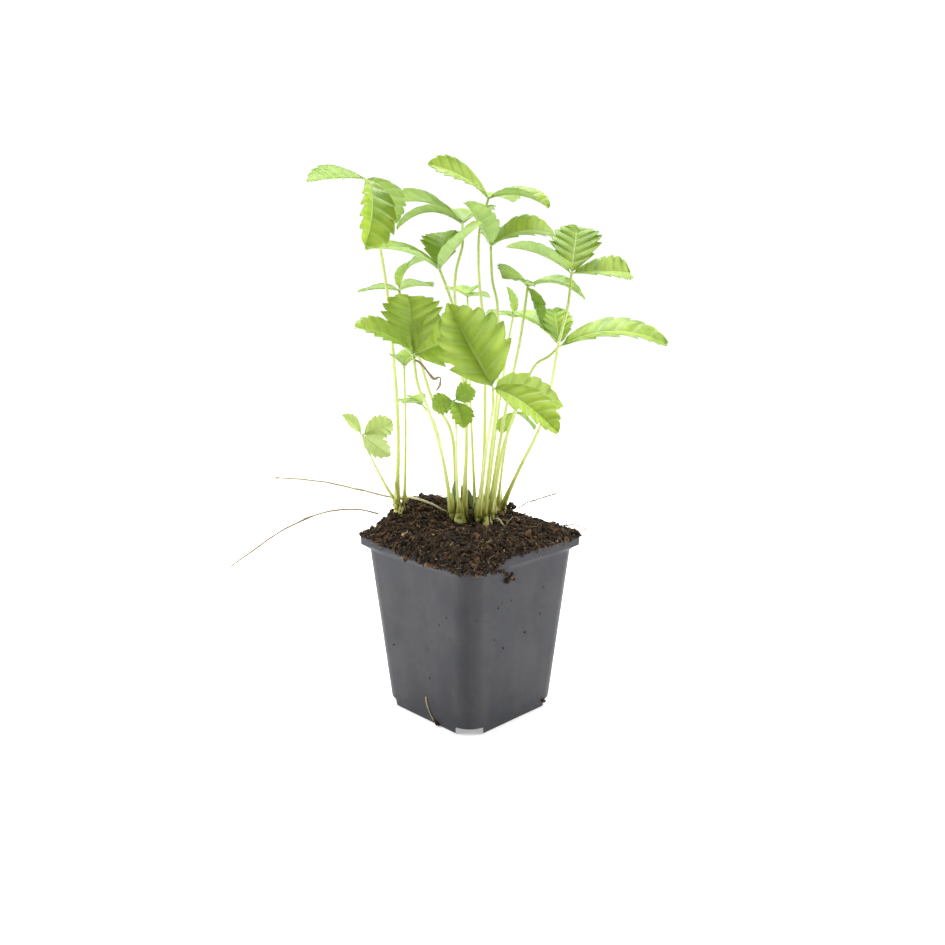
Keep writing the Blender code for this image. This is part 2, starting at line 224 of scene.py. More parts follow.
def pot_profile():
    """Side, corner radius and height of each ring: base, outer wall, round the lip, inner wall, floor."""
    rings = []
    for step in range(5):
        turn = math.pi / 2 * step / 4
        rings.append((wall_side(0) - 2 * BASE_ROUND * (1 - math.sin(turn)),
                      WALL_CORNER - BASE_ROUND * (1 - math.sin(turn)), BASE_ROUND * (1 - math.cos(turn))))
    under = POT_HEIGHT - LIP_DEPTH
    for height in np.linspace(6, under - 2.5, 12):
        rings.append((wall_side(height), WALL_CORNER, height))
    blend = [(0.0, 0.0, 0.0), (0.35, 0.12, 0.6), (1.0, 0.5, 1.6), (1.8, 1.0, 2.4)]
    for out, share, up in blend:
        rings.append((wall_side(under - LIP_FOOT) + 2 * out, WALL_CORNER + (LIP_CORNER - WALL_CORNER) * share,
                      under - LIP_FOOT + up))
    for step in range(7):
        turn = math.pi * step / 6
        side = LIP_SIDE - 2 * TOP_ROUND + 2 * TOP_ROUND * math.cos(turn)
        rings.append((side, LIP_CORNER - TOP_ROUND + TOP_ROUND * math.cos(turn),
                      POT_HEIGHT - TOP_ROUND + TOP_ROUND * math.sin(turn)))
    inner_corner = WALL_CORNER - WALL_THICK
    throat = wall_side(POT_HEIGHT) - 2 * WALL_THICK
    rings.append((throat + THROAT_FLARE, inner_corner, POT_HEIGHT - THROAT_FLARE))
    rings.append((throat, inner_corner, POT_HEIGHT - THROAT_FLARE - 1))
    for height in (80, 50, 20, 4, WALL_THICK):
        rings.append((wall_side(height) - 2 * WALL_THICK, inner_corner, height))
    return rings


def band(count, low, high):
    """The faces between two rings of points, given the place of each ring's first point."""
    return [(low + i, low + (i + 1) % count, high + (i + 1) % count, high + i) for i in range(count)]


def loft(rings):
    """Vertices and faces of a closed body through rings of equal count, capped at both ends."""
    count = len(rings[0])
    last = (len(rings) - 1) * count
    faces = [tuple(reversed(range(count)))]
    for low in range(0, last, count):
        faces += band(count, low, low + count)
    faces.append(tuple(range(last, last + count)))
    return [v for ring in rings for v in ring], faces


def pot_plastic():
    """Thermoformed polypropylene: satin, a faint orange peel, wiped streaks, smears and specks of peat."""
    made, tree = blank_material("thermoformed_polypropylene")
    place_on = object_place(tree)
    tall = stretched(tree, place_on, (1.0, 1.0, 0.16))
    streak = noise_at(tree, tall, 90.0, 5.0)
    smear = noise_at(tree, place_on, 42.0, 5.0, 0.6)
    wiped = sum_of(tree, "MULTIPLY", streak, smear)
    dust = stepped(tree, wiped, 0.16, 0.38, 0.0, 0.42)
    speck = node(tree, "ShaderNodeTexVoronoi", {"Vector": place_on, "Scale": 210.0}).outputs["Distance"]
    field = noise_at(tree, place_on, 26.0, 2.0)
    dots = sum_of(tree, "MULTIPLY", stepped(tree, speck, 0.12, 0.3, 0.8, 0.0),
                  stepped(tree, field, 0.54, 0.66))
    grime = stepped(tree, smear, 0.36, 0.24, 0.0, 0.5)
    colour = blended(tree, dust, POT_GREY, POT_DUST)
    colour = blended(tree, grime, colour, "#1D1C1D")
    colour = blended(tree, dots, colour, "#1C1714")
    peel = noise_at(tree, place_on, 900.0, 3.0)
    bump = bumped(tree, peel, 0.08, 0.0002)
    rough = stepped(tree, streak, 0.3, 0.7, 0.4, 0.54)
    show(tree, coated(tree, colour, rough, 1.36, bump))
    return made


def make_pot():
    rings = [[(x * MM, y * MM, z * MM) for x, y in rounded_square(side, max(corner, 0.5), 12, 3)]
             for side, corner, z in pot_profile()]
    pot = mesh_object("nursery_pot", *loft(rings))
    work = bmesh.new()
    length = WALL_SIDE_BOTTOM
    centre = Matrix.Translation(Vector((SLOT_REACH + length / 2, 0, 0)) * MM)
    for quarter in range(4):
        turn = Matrix.Rotation(math.pi / 4 + math.pi / 2 * quarter, 4, "Z")
        size = Matrix.Diagonal(Vector((length, SLOT_WIDTH, 2 * SLOT_HEIGHT, 1000.0)) * MM)
        bmesh.ops.create_cube(work, size=1.0, matrix=turn @ centre @ size)
    bmesh.ops.bevel(work, geom=list(work.edges), offset=0.5 * MM, segments=3, affect="EDGES")
    cutters = bpy.data.meshes.new("slot_cutters")
    work.to_mesh(cutters)
    work.free()
    blocks = bpy.data.objects.new("slot_cutters", cutters)
    bpy.context.scene.collection.objects.link(blocks)
    cut = pot.modifiers.new("Slots", "BOOLEAN")
    cut.object = blocks
    cut.solver = "EXACT"
    baked(pot)
    bpy.data.objects.remove(blocks)
    pot.data.set_sharp_from_angle(angle=math.radians(40))
    pot.data.materials.clear()
    pot.data.materials.append(pot_plastic())
    return pot


place(make_pot(), "pot_plastic", "pot")

# ---------------------------------------------------------------------------------------------
# Soil: moist brown peat compost, pressed into the pot and heaped above its lip, highest at the
# back left. It has spilt over the lip and hangs off its front edges. Clods, crumbs, grit and
# fibres lie on it, and a few bits stick to the pot's sides.

PLANT_TURN = math.radians(-45.0)
SOIL_EDGE = 98.6
SOIL_LEVEL = 105.0
SKIRT_SHARE = 0.9
SKIRT_LEVEL = 60.0
HEAP_RINGS = 41
RING_GAP = 0.024
EDGE_CLIMB = 0.14
# Each heap has its middle, its reach both ways and its rise.
HEAPS = (
    ((-30.0, 18.0), (24.0, 20.0), 12.5),
    ((5.0, 36.0), (22.0, 18.0), 6.0),
)


def turned(point):
    """A point of the plant's frame, in millimetres, as metres in the pot's frame."""
    return Matrix.Rotation(PLANT_TURN, 3, "Z") @ Vector(point) * MM


def soil_height(x, y):
    """Height in millimetres of the heaped soil at a point of the plant's frame."""
    height = SOIL_LEVEL
    for (cx, cy), (wide, deep), rise in HEAPS:
        height += rise * math.exp(-(((x - cx) / wide) ** 2) - ((y - cy) / deep) ** 2)
    return height


def soil_surface():
    """The closed heap: a skirt inside the pot, then rings inwards over the top, roughened by lumps."""
    edge = rounded_square(wall_side(SOIL_EDGE) - 2 * WALL_THICK - 0.4, WALL_CORNER - WALL_THICK, 8, 22)
    back = Matrix.Rotation(-PLANT_TURN, 3, "Z")
    rings = [[(x * SKIRT_SHARE * MM, y * SKIRT_SHARE * MM, SKIRT_LEVEL * MM) for x, y in edge]]
    for k in range(HEAP_RINGS):
        share = 1.0 - RING_GAP * k
        ring = []
        for x, y in edge:
            point = Vector((x, y, 0)) * share
            inside = back @ point
            climb = min(1.0, (1.0 - share) / EDGE_CLIMB) ** 0.6
            height = SOIL_EDGE + (soil_height(inside.x, inside.y) - SOIL_EDGE) * climb
            lump = noise.noise(Vector((inside.x, inside.y, 0)) * 0.16) * 1.5
            grit = noise.noise(Vector((inside.x, inside.y, 7)) * 0.6) * 0.7
            height += (lump + grit) * min(1.0, 0.2 + climb)
            ring.append((point.x * MM, point.y * MM, height * MM))
        rings.append(ring)
    return loft(rings)


SPILL_DEPTH = 1.3
SPILL_STEPS = 46
HANG_DEPTH = 4.6


def hang_depth(x, y):
    """How far the spilt soil hangs down the lip's outer face at a place on the pot, in millimetres."""
    ragged = noise.noise(Vector((x, y, 3)) * 0.13) * 2.0 + noise.noise(Vector((x, y, 9)) * 0.4) * 1.1
    left_edge = max(0.0, min(1.0, (26 - y) / 14)) if x < -LIP_SIDE / 2 + 1 else 0.0
    right_edge = max(0.0, min(1.0, (-14 - x) / 12)) if y < -LIP_SIDE / 2 + 1 else 0.0
    return max(0.2, HANG_DEPTH * max(left_edge, right_edge) + ragged)


def spilt_soil():
    """A closed lumpy band of soil that lies on the lip all round and hangs over its outer face in front."""
    throat = wall_side(POT_HEIGHT) - 2 * WALL_THICK

    def ring(side, corner):
        return rounded_square(side, corner, 6, SPILL_STEPS)

    inner = ring(throat - 4.5, WALL_CORNER - WALL_THICK)
    rim = ring(throat + 0.4, WALL_CORNER - WALL_THICK)
    middle = ring((throat + LIP_SIDE) / 2, (WALL_CORNER - WALL_THICK + LIP_CORNER) / 2)
    edge = ring(LIP_SIDE + 0.5, LIP_CORNER)
    proud = ring(LIP_SIDE + 1.9, LIP_CORNER + 0.8)
    flush = ring(LIP_SIDE + 0.2, LIP_CORNER)
    under = ring(LIP_SIDE - 1.4, LIP_CORNER)
    rings = [[] for _ in range(9)]
    for i, (x, y) in enumerate(edge):
        lump = noise.noise(Vector((x, y, 0)) * 0.3) * 1.4 + noise.noise(Vector((x, y, 5)) * 0.9) * 0.7
        rise = max(0.15, SPILL_DEPTH + lump)
        drop = hang_depth(x, y)
        stand = min(1.0, 0.25 + drop / 3)
        out = [proud[i][k] * stand + edge[i][k] * (1 - stand) for k in range(2)]
        places = (
            (inner[i], -3.5), (inner[i], 0.6 + rise), (rim[i], rise + 0.3), (middle[i], 0.15 + rise),
            (edge[i], 0.3 * rise), (out, -0.4 * drop), (out, -0.8 * drop), (flush[i], -drop),
            (under[i], 0.06),
        )
        for k, (at, height) in enumerate(places):
            rings[k].append((at[0] * MM, at[1] * MM, (POT_HEIGHT + height) * MM))
    faces = []
    for k in range(len(rings)):
        faces += band(len(edge), k * len(edge), (k + 1) % len(rings) * len(edge))
    return [v for one in rings for v in one], faces


def peat_colour(tree, tone, place_on):
    """Dark wet peat to tan bark by tone, with a mottle inside each crumb."""
    mottle = noise_at(tree, place_on, 420.0, 4.0, 0.7)
    dark = blended(tree, stepped(tree, tone, 0.0, 0.6), "#150D07", "#46331F")
    light = blended(tree, stepped(tree, tone, 0.6, 0.97), dark, "#7D5E3D")
    pale = blended(tree, stepped(tree, tone, 0.965, 1.0), light, "#BBA17A")
    return blended(tree, stepped(tree, mottle, 0.32, 0.68, 0.0, 0.78), pale, "#0D0703"), mottle


def peat_material(name, reads_tone):
    """Moist sphagnum peat: matt and dark."""
    made, tree = blank_material(name)
    place_on = object_place(tree)
    if reads_tone:
        tone = own_tone(tree)
    else:
        tone = noise_at(tree, place_on, 260.0, 3.0)
    colour, mottle = peat_colour(tree, tone, place_on)
    bump = bumped(tree, mottle, 0.9, 0.0008)
    show(tree, coated(tree, colour, 0.86, 1.4, bump))
    return made


def group_with(name, inputs):
    """An empty Geometry Nodes tree with named number inputs. Returns it and its input and output nodes."""
    tree = bpy.data.node_groups.new(name, "GeometryNodeTree")
    tree.interface.new_socket("Geometry", in_out="INPUT", socket_type="NodeSocketGeometry")
    for label, kind in inputs.items():
        tree.interface.new_socket(label, in_out="INPUT", socket_type=kind)
    tree.interface.new_socket("Geometry", in_out="OUTPUT", socket_type="NodeSocketGeometry")
    return tree, node(tree, "NodeGroupInput"), node(tree, "NodeGroupOutput")


def run_group(name, source, tree, values, look):
    """Runs a tree on a copy of the source and returns the result as a plain mesh object."""
    made = bpy.data.objects.new(name, source.data.copy())
    bpy.context.scene.collection.objects.link(made)
    made.modifiers.clear()
    run = made.modifiers.new("Build", "NODES")
    run.node_group = tree
    for item in tree.interface.items_tree:
        if item.in_out == "INPUT" and item.name in values:
            run[item.identifier] = values[item.name]
    baked(made)
    made.data.materials.clear()
    made.data.materials.append(look)
    return made


def points_on(tree, given, density):
    """Points strewn over the given surface."""
    return node(tree, "GeometryNodeDistributePointsOnFaces", {
        "Mesh": given.outputs["Geometry"], "Density": given.outputs[density], "Seed": given.outputs["Seed"]})


def chance(tree, seed, low=0.0, high=1.0):
    """A random number for each point, or a random vector where the ends are vectors."""
    if isinstance(low, tuple):
        return node(tree, "FunctionNodeRandomValue", {0: low, 1: high, "Seed": seed},
                    data_type="FLOAT_VECTOR").outputs[0]
    return node(tree, "FunctionNodeRandomValue", {2: low, 3: high, "Seed": seed},
                data_type="FLOAT").outputs[1]


def scaled(tree, vector, by):
    return node(tree, "ShaderNodeVectorMath", {0: vector, "Scale": by}, operation="SCALE").outputs[0]


def finish_tree(tree, given, out, strewn, tone=None):
    """Marks each strewn thing with its tone, makes them all real and gives them the look."""
    if tone:
        strewn = node(tree, "GeometryNodeStoreNamedAttribute", {
            "Geometry": strewn, "Name": "tone", "Value": tone},
            data_type="FLOAT", domain="INSTANCE").outputs[0]
    real = node(tree, "GeometryNodeRealizeInstances", {"Geometry": strewn})
    looks = node(tree, "GeometryNodeSetMaterial", {"Geometry": real.outputs[0],
                                                   "Material": given.outputs["Look"]})
    tree.links.new(looks.outputs[0], out.inputs["Geometry"])
    return tree


def crumb_tree():
    """Crumbs strewn over a surface: random lumps of uneven size, each with its own tone."""
    tree, given, out = group_with("strewn_crumbs", {
        "Count Density": "NodeSocketFloat", "Smallest": "NodeSocketFloat", "Largest": "NodeSocketFloat",
        "Detail": "NodeSocketInt", "Lift": "NodeSocketFloat", "Seed": "NodeSocketInt",
        "Look": "NodeSocketMaterial"})
    points = points_on(tree, given, "Count Density")
    ball = node(tree, "GeometryNodeMeshIcoSphere", {"Radius": 1.0, "Subdivisions": given.outputs["Detail"]})
    where = node(tree, "GeometryNodeInputPosition").outputs[0]
    rough = node(tree, "ShaderNodeTexNoise", {"Vector": where, "Scale": 1.5, "Detail": 3.0}).outputs["Color"]
    centred = node(tree, "ShaderNodeVectorMath", {0: rough, 1: (0.5, 0.5, 0.5)}, operation="SUBTRACT")
    lump = node(tree, "GeometryNodeSetPosition", {
        "Geometry": ball.outputs["Mesh"], "Offset": scaled(tree, centred.outputs[0], 2.2)})
    bend = sum_of(tree, "POWER", chance(tree, given.outputs["Seed"]), 2.6)
    span = node(tree, "ShaderNodeMapRange", {"Value": bend, "To Min": given.outputs["Smallest"],
                                             "To Max": given.outputs["Largest"]}).outputs[0]
    squeeze = chance(tree, 5, (0.55, 0.55, 0.45), (1.35, 1.1, 0.9))
    spin = chance(tree, 9, (0.0, 0.0, 0.0), (6.28, 6.28, 6.28))
    raised = node(tree, "GeometryNodeSetPosition", {
        "Geometry": points.outputs["Points"],
        "Offset": scaled(tree, points.outputs["Normal"], given.outputs["Lift"])})
    strewn = node(tree, "GeometryNodeInstanceOnPoints", {
        "Points": raised.outputs[0], "Instance": lump.outputs[0], "Scale": scaled(tree, squeeze, span)})
    turn = node(tree, "FunctionNodeEulerToRotation", {0: spin})
    tree.links.new(turn.outputs[0], strewn.inputs["Rotation"])
    return finish_tree(tree, given, out, strewn.outputs[0], chance(tree, 3))


def top_only(name, source, reach, lowest, least_up):
    """A copy of the part of a surface that faces up or out, to strew things on, widened a little."""
    work = bmesh.new()
    work.from_mesh(source.data)
    gone = [f for f in work.faces if f.calc_center_median().z < lowest or f.normal.z < least_up]
    bmesh.ops.delete(work, geom=gone, context="FACES")
    for vert in work.verts:
        vert.co.x *= reach
        vert.co.y *= reach
    mesh = bpy.data.meshes.new(name)
    work.to_mesh(mesh)
    work.free()
    made = bpy.data.objects.new(name, mesh)
    bpy.context.scene.collection.objects.link(made)
    return made


heap = mesh_object("soil_heap", *soil_surface())
heap.data.materials.append(peat_material("moist_peat", False))
crumb_look = peat_material("peat_crumb", True)
spill = mesh_object("soil_spill", *spilt_soil())
face_outwards(spill.data)
spill.data.materials.append(crumb_look)
bed = top_only("soil_bed", heap, reach=1.0, lowest=0.095, least_up=0.1)
ledge = top_only("spill_bed", spill, reach=1.002, lowest=0.092, least_up=-0.6)
bed_faces = bmesh.new()
bed_faces.from_mesh(bed.data)
bed_faces.from_mesh(ledge.data)
bed_faces.to_mesh(bed.data)
bed_faces.free()
bpy.data.objects.remove(ledge)
strewing = crumb_tree()
STREWN = {
    "soil_clods": {"Count Density": 11000.0, "Smallest": 0.0014, "Largest": 0.0027, "Detail": 3,
                   "Lift": 0.0002, "Seed": 5},
    "soil_crumbs": {"Count Density": 200000.0, "Smallest": 0.0006, "Largest": 0.0020, "Detail": 2,
                    "Lift": 0.0003, "Seed": 11},
    "soil_grit": {"Count Density": 620000.0, "Smallest": 0.00025, "Largest": 0.0009, "Detail": 1,
                  "Lift": 0.0004, "Seed": 23},
}
loose = [run_group(name, bed, strewing, {**values, "Look": crumb_look}, crumb_look)
         for name, values in STREWN.items()]
for piece in loose[:2]:
    piece.data.shade_smooth()


def fibre_tree():
    """Fibres and slivers of bark lying on a surface: short bent strands, turned every way."""
    tree, given, out = group_with("strewn_fibres", {
        "Count Density": "NodeSocketFloat", "Length": "NodeSocketFloat", "Thickness": "NodeSocketFloat",
        "Seed": "NodeSocketInt", "Look": "NodeSocketMaterial"})
    points = points_on(tree, given, "Count Density")
    arc = node(tree, "GeometryNodeCurveQuadraticBezier", {
        "Resolution": 6, "Start": (-0.5, 0.0, 0.0), "Middle": (0.0, 0.16, 0.22), "End": (0.5, 0.0, 0.0)})
    ring = node(tree, "GeometryNodeCurvePrimitiveCircle", {"Resolution": 5, "Radius": 0.03})
    strand = node(tree, "GeometryNodeCurveToMesh", {"Curve": arc.outputs[0], "Profile Curve": ring.outputs[0],
                                                    "Fill Caps": True})
    long = sum_of(tree, "MULTIPLY", chance(tree, 2, 0.35), given.outputs["Length"])
    scale = node(tree, "ShaderNodeCombineXYZ", {0: long, 1: given.outputs["Thickness"],
                                                2: given.outputs["Thickness"]})
    turn = node(tree, "FunctionNodeEulerToRotation", {
        0: chance(tree, 4, (-0.35, -0.35, 0.0), (0.35, 0.35, 6.28))})
    strewn = node(tree, "GeometryNodeInstanceOnPoints", {
        "Points": points.outputs["Points"], "Instance": strand.outputs[0], "Scale": scale.outputs[0],
        "Rotation": turn.outputs[0]})
    return finish_tree(tree, given, out, strewn.outputs[0], chance(tree, 8, 0.35))


fibres = run_group("soil_fibres", bed, fibre_tree(), {
    "Count Density": 52000.0, "Length": 0.012, "Thickness": 0.0075, "Seed": 31,
    "Look": crumb_look}, crumb_look)
bpy.data.objects.remove(bed)
place(heap, "peat", "soil")
for piece in (spill, fibres, *loose):
    place(piece, "peat")

# ---------------------------------------------------------------------------------------------
# Crowns: the short woody stems of four plantlets, half sunk in the soil. They are knobbly and
# wrapped in pointed papery sheaths, yellow-green where they are fresh and brown where they are dead.

CROWN_DEPTH = 6.0
# Each crown has its middle, its radius and the height of its top.
CROWNS = {
    "crown_left": ((-39.5, 5.5), 4.6, 116.8),
    "crown_middle": ((-6.5, 4.0), 6.4, 112.6),
    "crown_main": ((7.5, 4.5), 6.6, 110.6),
    "crown_right": ((17.5, 21.0), 4.6, 112.0),
}
SCALES_EACH = 13
SCALE_LENGTHS = {"crown_left": (5.0, 9.5), "crown_middle": (7.0, 14.0), "crown_main": (7.0, 16.0),
                 "crown_right": (6.0, 12.0)}
SCALE_THICK = 0.25
SCALE_FOOT = 1.5
SCALE_ROWS = 12
SCALE_COLUMNS = 8
KNOB_SHARE = 0.78
KNOB_DROP = 1.2
KNOB_STEPS = 14


def thick_sheet(rows, thick):
    """Vertices and faces of a thin closed sheet about a grid of points, with each one's row, column, side."""
    tall = len(rows)
    wide = len(rows[0])
    grid = np.array([[tuple(p) for p in row] for row in rows])
    along = np.gradient(grid, axis=0)
    across = np.gradient(grid, axis=1)
    normal = np.cross(across, along)
    normal /= np.maximum(np.linalg.norm(normal, axis=2, keepdims=True), 1e-12)
    upper = grid + normal * thick / 2
    lower = grid - normal * thick / 2
    verts = [tuple(p) for p in upper.reshape(-1, 3)] + [tuple(p) for p in lower.reshape(-1, 3)]
    places = [(r, c, side) for side in (1, 0) for r in range(tall) for c in range(wide)]
    half = tall * wide
    faces = []
    for r in range(tall - 1):
        for c in range(wide - 1):
            a = r * wide + c
            faces.append((a, a + 1, a + wide + 1, a + wide))
            faces.append((half + a, half + a + wide, half + a + wide + 1, half + a + 1))
    rim = list(range(wide))
    rim += [r * wide + wide - 1 for r in range(1, tall)]
    rim += [(tall - 1) * wide + c for c in range(wide - 2, -1, -1)]
    rim += [r * wide for r in range(tall - 2, 0, -1)]
    for a, b in zip(rim, rim[1:] + rim[:1]):
        faces.append((b, a, half + a, half + b))
    return verts, faces, places


def add_part(store, verts, faces, uvs, tones):
    """Adds a closed body to a store of vertices, faces, UVs and tones that becomes one mesh."""
    shift = len(store["verts"])
    store["verts"] += verts
    store["faces"] += [tuple(i + shift for i in face) for face in faces]
    store["uvs"] += uvs
    store["tones"] += tones


def new_store():
    return {"verts": [], "faces": [], "uvs": [], "tones": []}


def object_of(name, store, look):
    """A mesh object from a store, with its UV map, its tone attribute and outward normals."""
    made = mesh_object(name, store["verts"], store["faces"])
    mesh = made.data
    layer = mesh.uv_layers.new(name="surface")
    index = np.empty(len(mesh.loops), dtype=np.int32)
    mesh.loops.foreach_get("vertex_index", index)
    layer.data.foreach_set("uv", np.array(store["uvs"], dtype=np.float32)[index].reshape(-1))
    tone = mesh.attributes.new("tone", "FLOAT", "POINT")
    tone.data.foreach_set("value", np.array(store["tones"], dtype=np.float32))
    face_outwards(mesh)
    mesh.materials.append(look)
    return made


def smooth_route(points, steps):
    """Points at even shares of a smooth curve through the given ones, in the same units."""
    stops = [Vector(p) for p in points]
    ends = [2 * stops[0] - stops[1]] + stops + [2 * stops[-1] - stops[-2]]
    fine = []
    for i in range(1, len(ends) - 2):
        a, b, c, d = ends[i - 1:i + 3]
        for k in range(16):
            t = k / 16
            fine.append(0.5 * (2 * b + (c - a) * t + (2 * a - 5 * b + 4 * c - d) * t ** 2
                               + (3 * b - a - 3 * c + d) * t ** 3))
    fine.append(stops[-1])
    lengths = [0.0]
    for p, q in zip(fine, fine[1:]):
        lengths.append(lengths[-1] + (q - p).length)
    route = []
    at = 0
    for step in range(steps + 1):
        wanted = lengths[-1] * step / steps
        while at < len(fine) - 2 and lengths[at + 1] < wanted:
            at += 1
        share = (wanted - lengths[at]) / (lengths[at + 1] - lengths[at])
        route.append(fine[at].lerp(fine[at + 1], share))
    return route


def frames_along(route):
    """Side and out directions at each point of a route, turning as little as they can."""
    last = len(route) - 1
    along = [(route[min(i + 1, last)] - route[max(i - 1, 0)]).normalized() for i in range(last + 1)]
    side = along[0].orthogonal().normalized()
    frames = []
    for way in along:
        side = (side - way * side.dot(way)).normalized()
        frames.append((side, way.cross(side)))
    return frames


def tube(route, radius_at, sides, squash=1.0, tone=0.5):
    """A closed tube in millimetres along a route; radius_at takes the share of its length and the angle."""
    rings = []
    uvs = []
    for i, (point, (side, out)) in enumerate(zip(route, frames_along(route))):
        share = i / (len(route) - 1)
        ring = []
        for k in range(sides):
            angle = 2 * math.pi * k / sides
            r = radius_at(share, angle)
            across = side * r * math.cos(angle)
            ring.append(tuple(turned(point + across + out * r * squash * math.sin(angle))))
            uvs.append((abs(2 * k / sides - 1), share))
        rings.append(ring)
    verts, faces = loft(rings)
    return verts, faces, uvs, [tone] * len(verts)


def scale_leaf(foot, turn, length, radius, wrap, lean, tone):
    """A papery pointed scale that wraps part of the way round a stem, standing on its foot."""
    rows = []
    for i in range(SCALE_ROWS + 1):
        share = i / SCALE_ROWS
        narrow = (1 - share ** 2.2) * (0.65 + 0.35 * share)
        bulge = radius * (1 + lean * share ** 2 - 0.18 * math.sin(math.pi * share))
        row = []
        for k in range(SCALE_COLUMNS + 1):
            across = 2 * k / SCALE_COLUMNS - 1
            angle = turn + across * wrap / 2 * (0.08 + 0.92 * narrow)
            crinkle = 0.12 * noise.noise(Vector((across * 2.5, share * 4, turn * 3)))
            r = bulge + crinkle
            height = length * share * (1 - 0.12 * across * across)
            row.append(turned(Vector(foot) + Vector((r * math.cos(angle), r * math.sin(angle), height))))
        rows.append(row)
    verts, faces, places = thick_sheet(rows, SCALE_THICK * MM)
    return verts, faces, [(c / SCALE_COLUMNS, r / SCALE_ROWS) for r, c, _ in places], [tone] * len(verts)


def crown_tissue():
    """Crown and sheath tissue: fibrous, dull, straw to brown with green where it is alive."""
    made, tree = blank_material("fibrous_crown_tissue")
    place_on = object_place(tree)
    tone = own_tone(tree)
    stretch = stretched(tree, place_on, (1.0, 1.0, 0.12))
    grain = noise_at(tree, stretch, 1500.0, 4.0)
    patch = noise_at(tree, place_on, 220.0, 3.0)
    live = blended(tree, stepped(tree, patch, 0.35, 0.65), "#B9B653", "#DCD98E")
    dead = blended(tree, stepped(tree, patch, 0.35, 0.65), "#33251A", "#75603A")
    colour = blended(tree, stepped(tree, tone, 0.25, 0.5), dead, live)
    colour = blended(tree, stepped(tree, grain, 0.4, 0.75, 0.0, 0.4), colour, "#5A4A1E")
    bump = bumped(tree, grain, 0.5, 0.0003)
    show(tree, coated(tree, colour, 0.7, 1.4, bump))
    return made


crown_look = crown_tissue()
for number, (name, (middle, radius, top)) in enumerate(CROWNS.items()):
    draw = random.Random(40 + number)
    low = soil_height(*middle) - CROWN_DEPTH
    knob = new_store()
    rise = (top - KNOB_DROP - low) / KNOB_STEPS
    route = [Vector((*middle, low + rise * k)) for k in range(KNOB_STEPS + 1)]

    def knob_radius(share, angle):
        swell = 0.6 + 0.4 * math.sin(math.pi * min(1.0, share / 0.9) / 2)
        close = math.sqrt(max(0.05, 1 - max(0.0, (share - 0.6) / 0.42) ** 2))
        ridge = 0.07 * math.sin(5 * angle + number) + 0.05 * math.sin(9 * angle + 4 * share)
        return KNOB_SHARE * radius * swell * close * (1 + ridge)

    add_part(knob, *tube(route, knob_radius, sides=28, tone=0.1))
    for k in range(SCALES_EACH):
        turn = 2 * math.pi * (k + draw.uniform(-0.3, 0.3)) / SCALES_EACH
        start = (*middle, soil_height(*middle) - SCALE_FOOT)
        add_part(knob, *scale_leaf(start, turn, draw.uniform(*SCALE_LENGTHS[name]),
                                   radius * draw.uniform(0.7, 1.0), draw.uniform(0.7, 1.25),
                                   draw.uniform(-0.5, -0.1), draw.uniform(0.2, 0.95)))
    place(object_of(name + "_knob", knob, crown_look), "crown_tissue", name)

# ---------------------------------------------------------------------------------------------
# Leaf stalks: one long thin stalk to each leaf, pale and juicy, ribbed, and set with fine hairs
# that stand straight out. Each widens at its foot into a pair of pointed sheath wings.

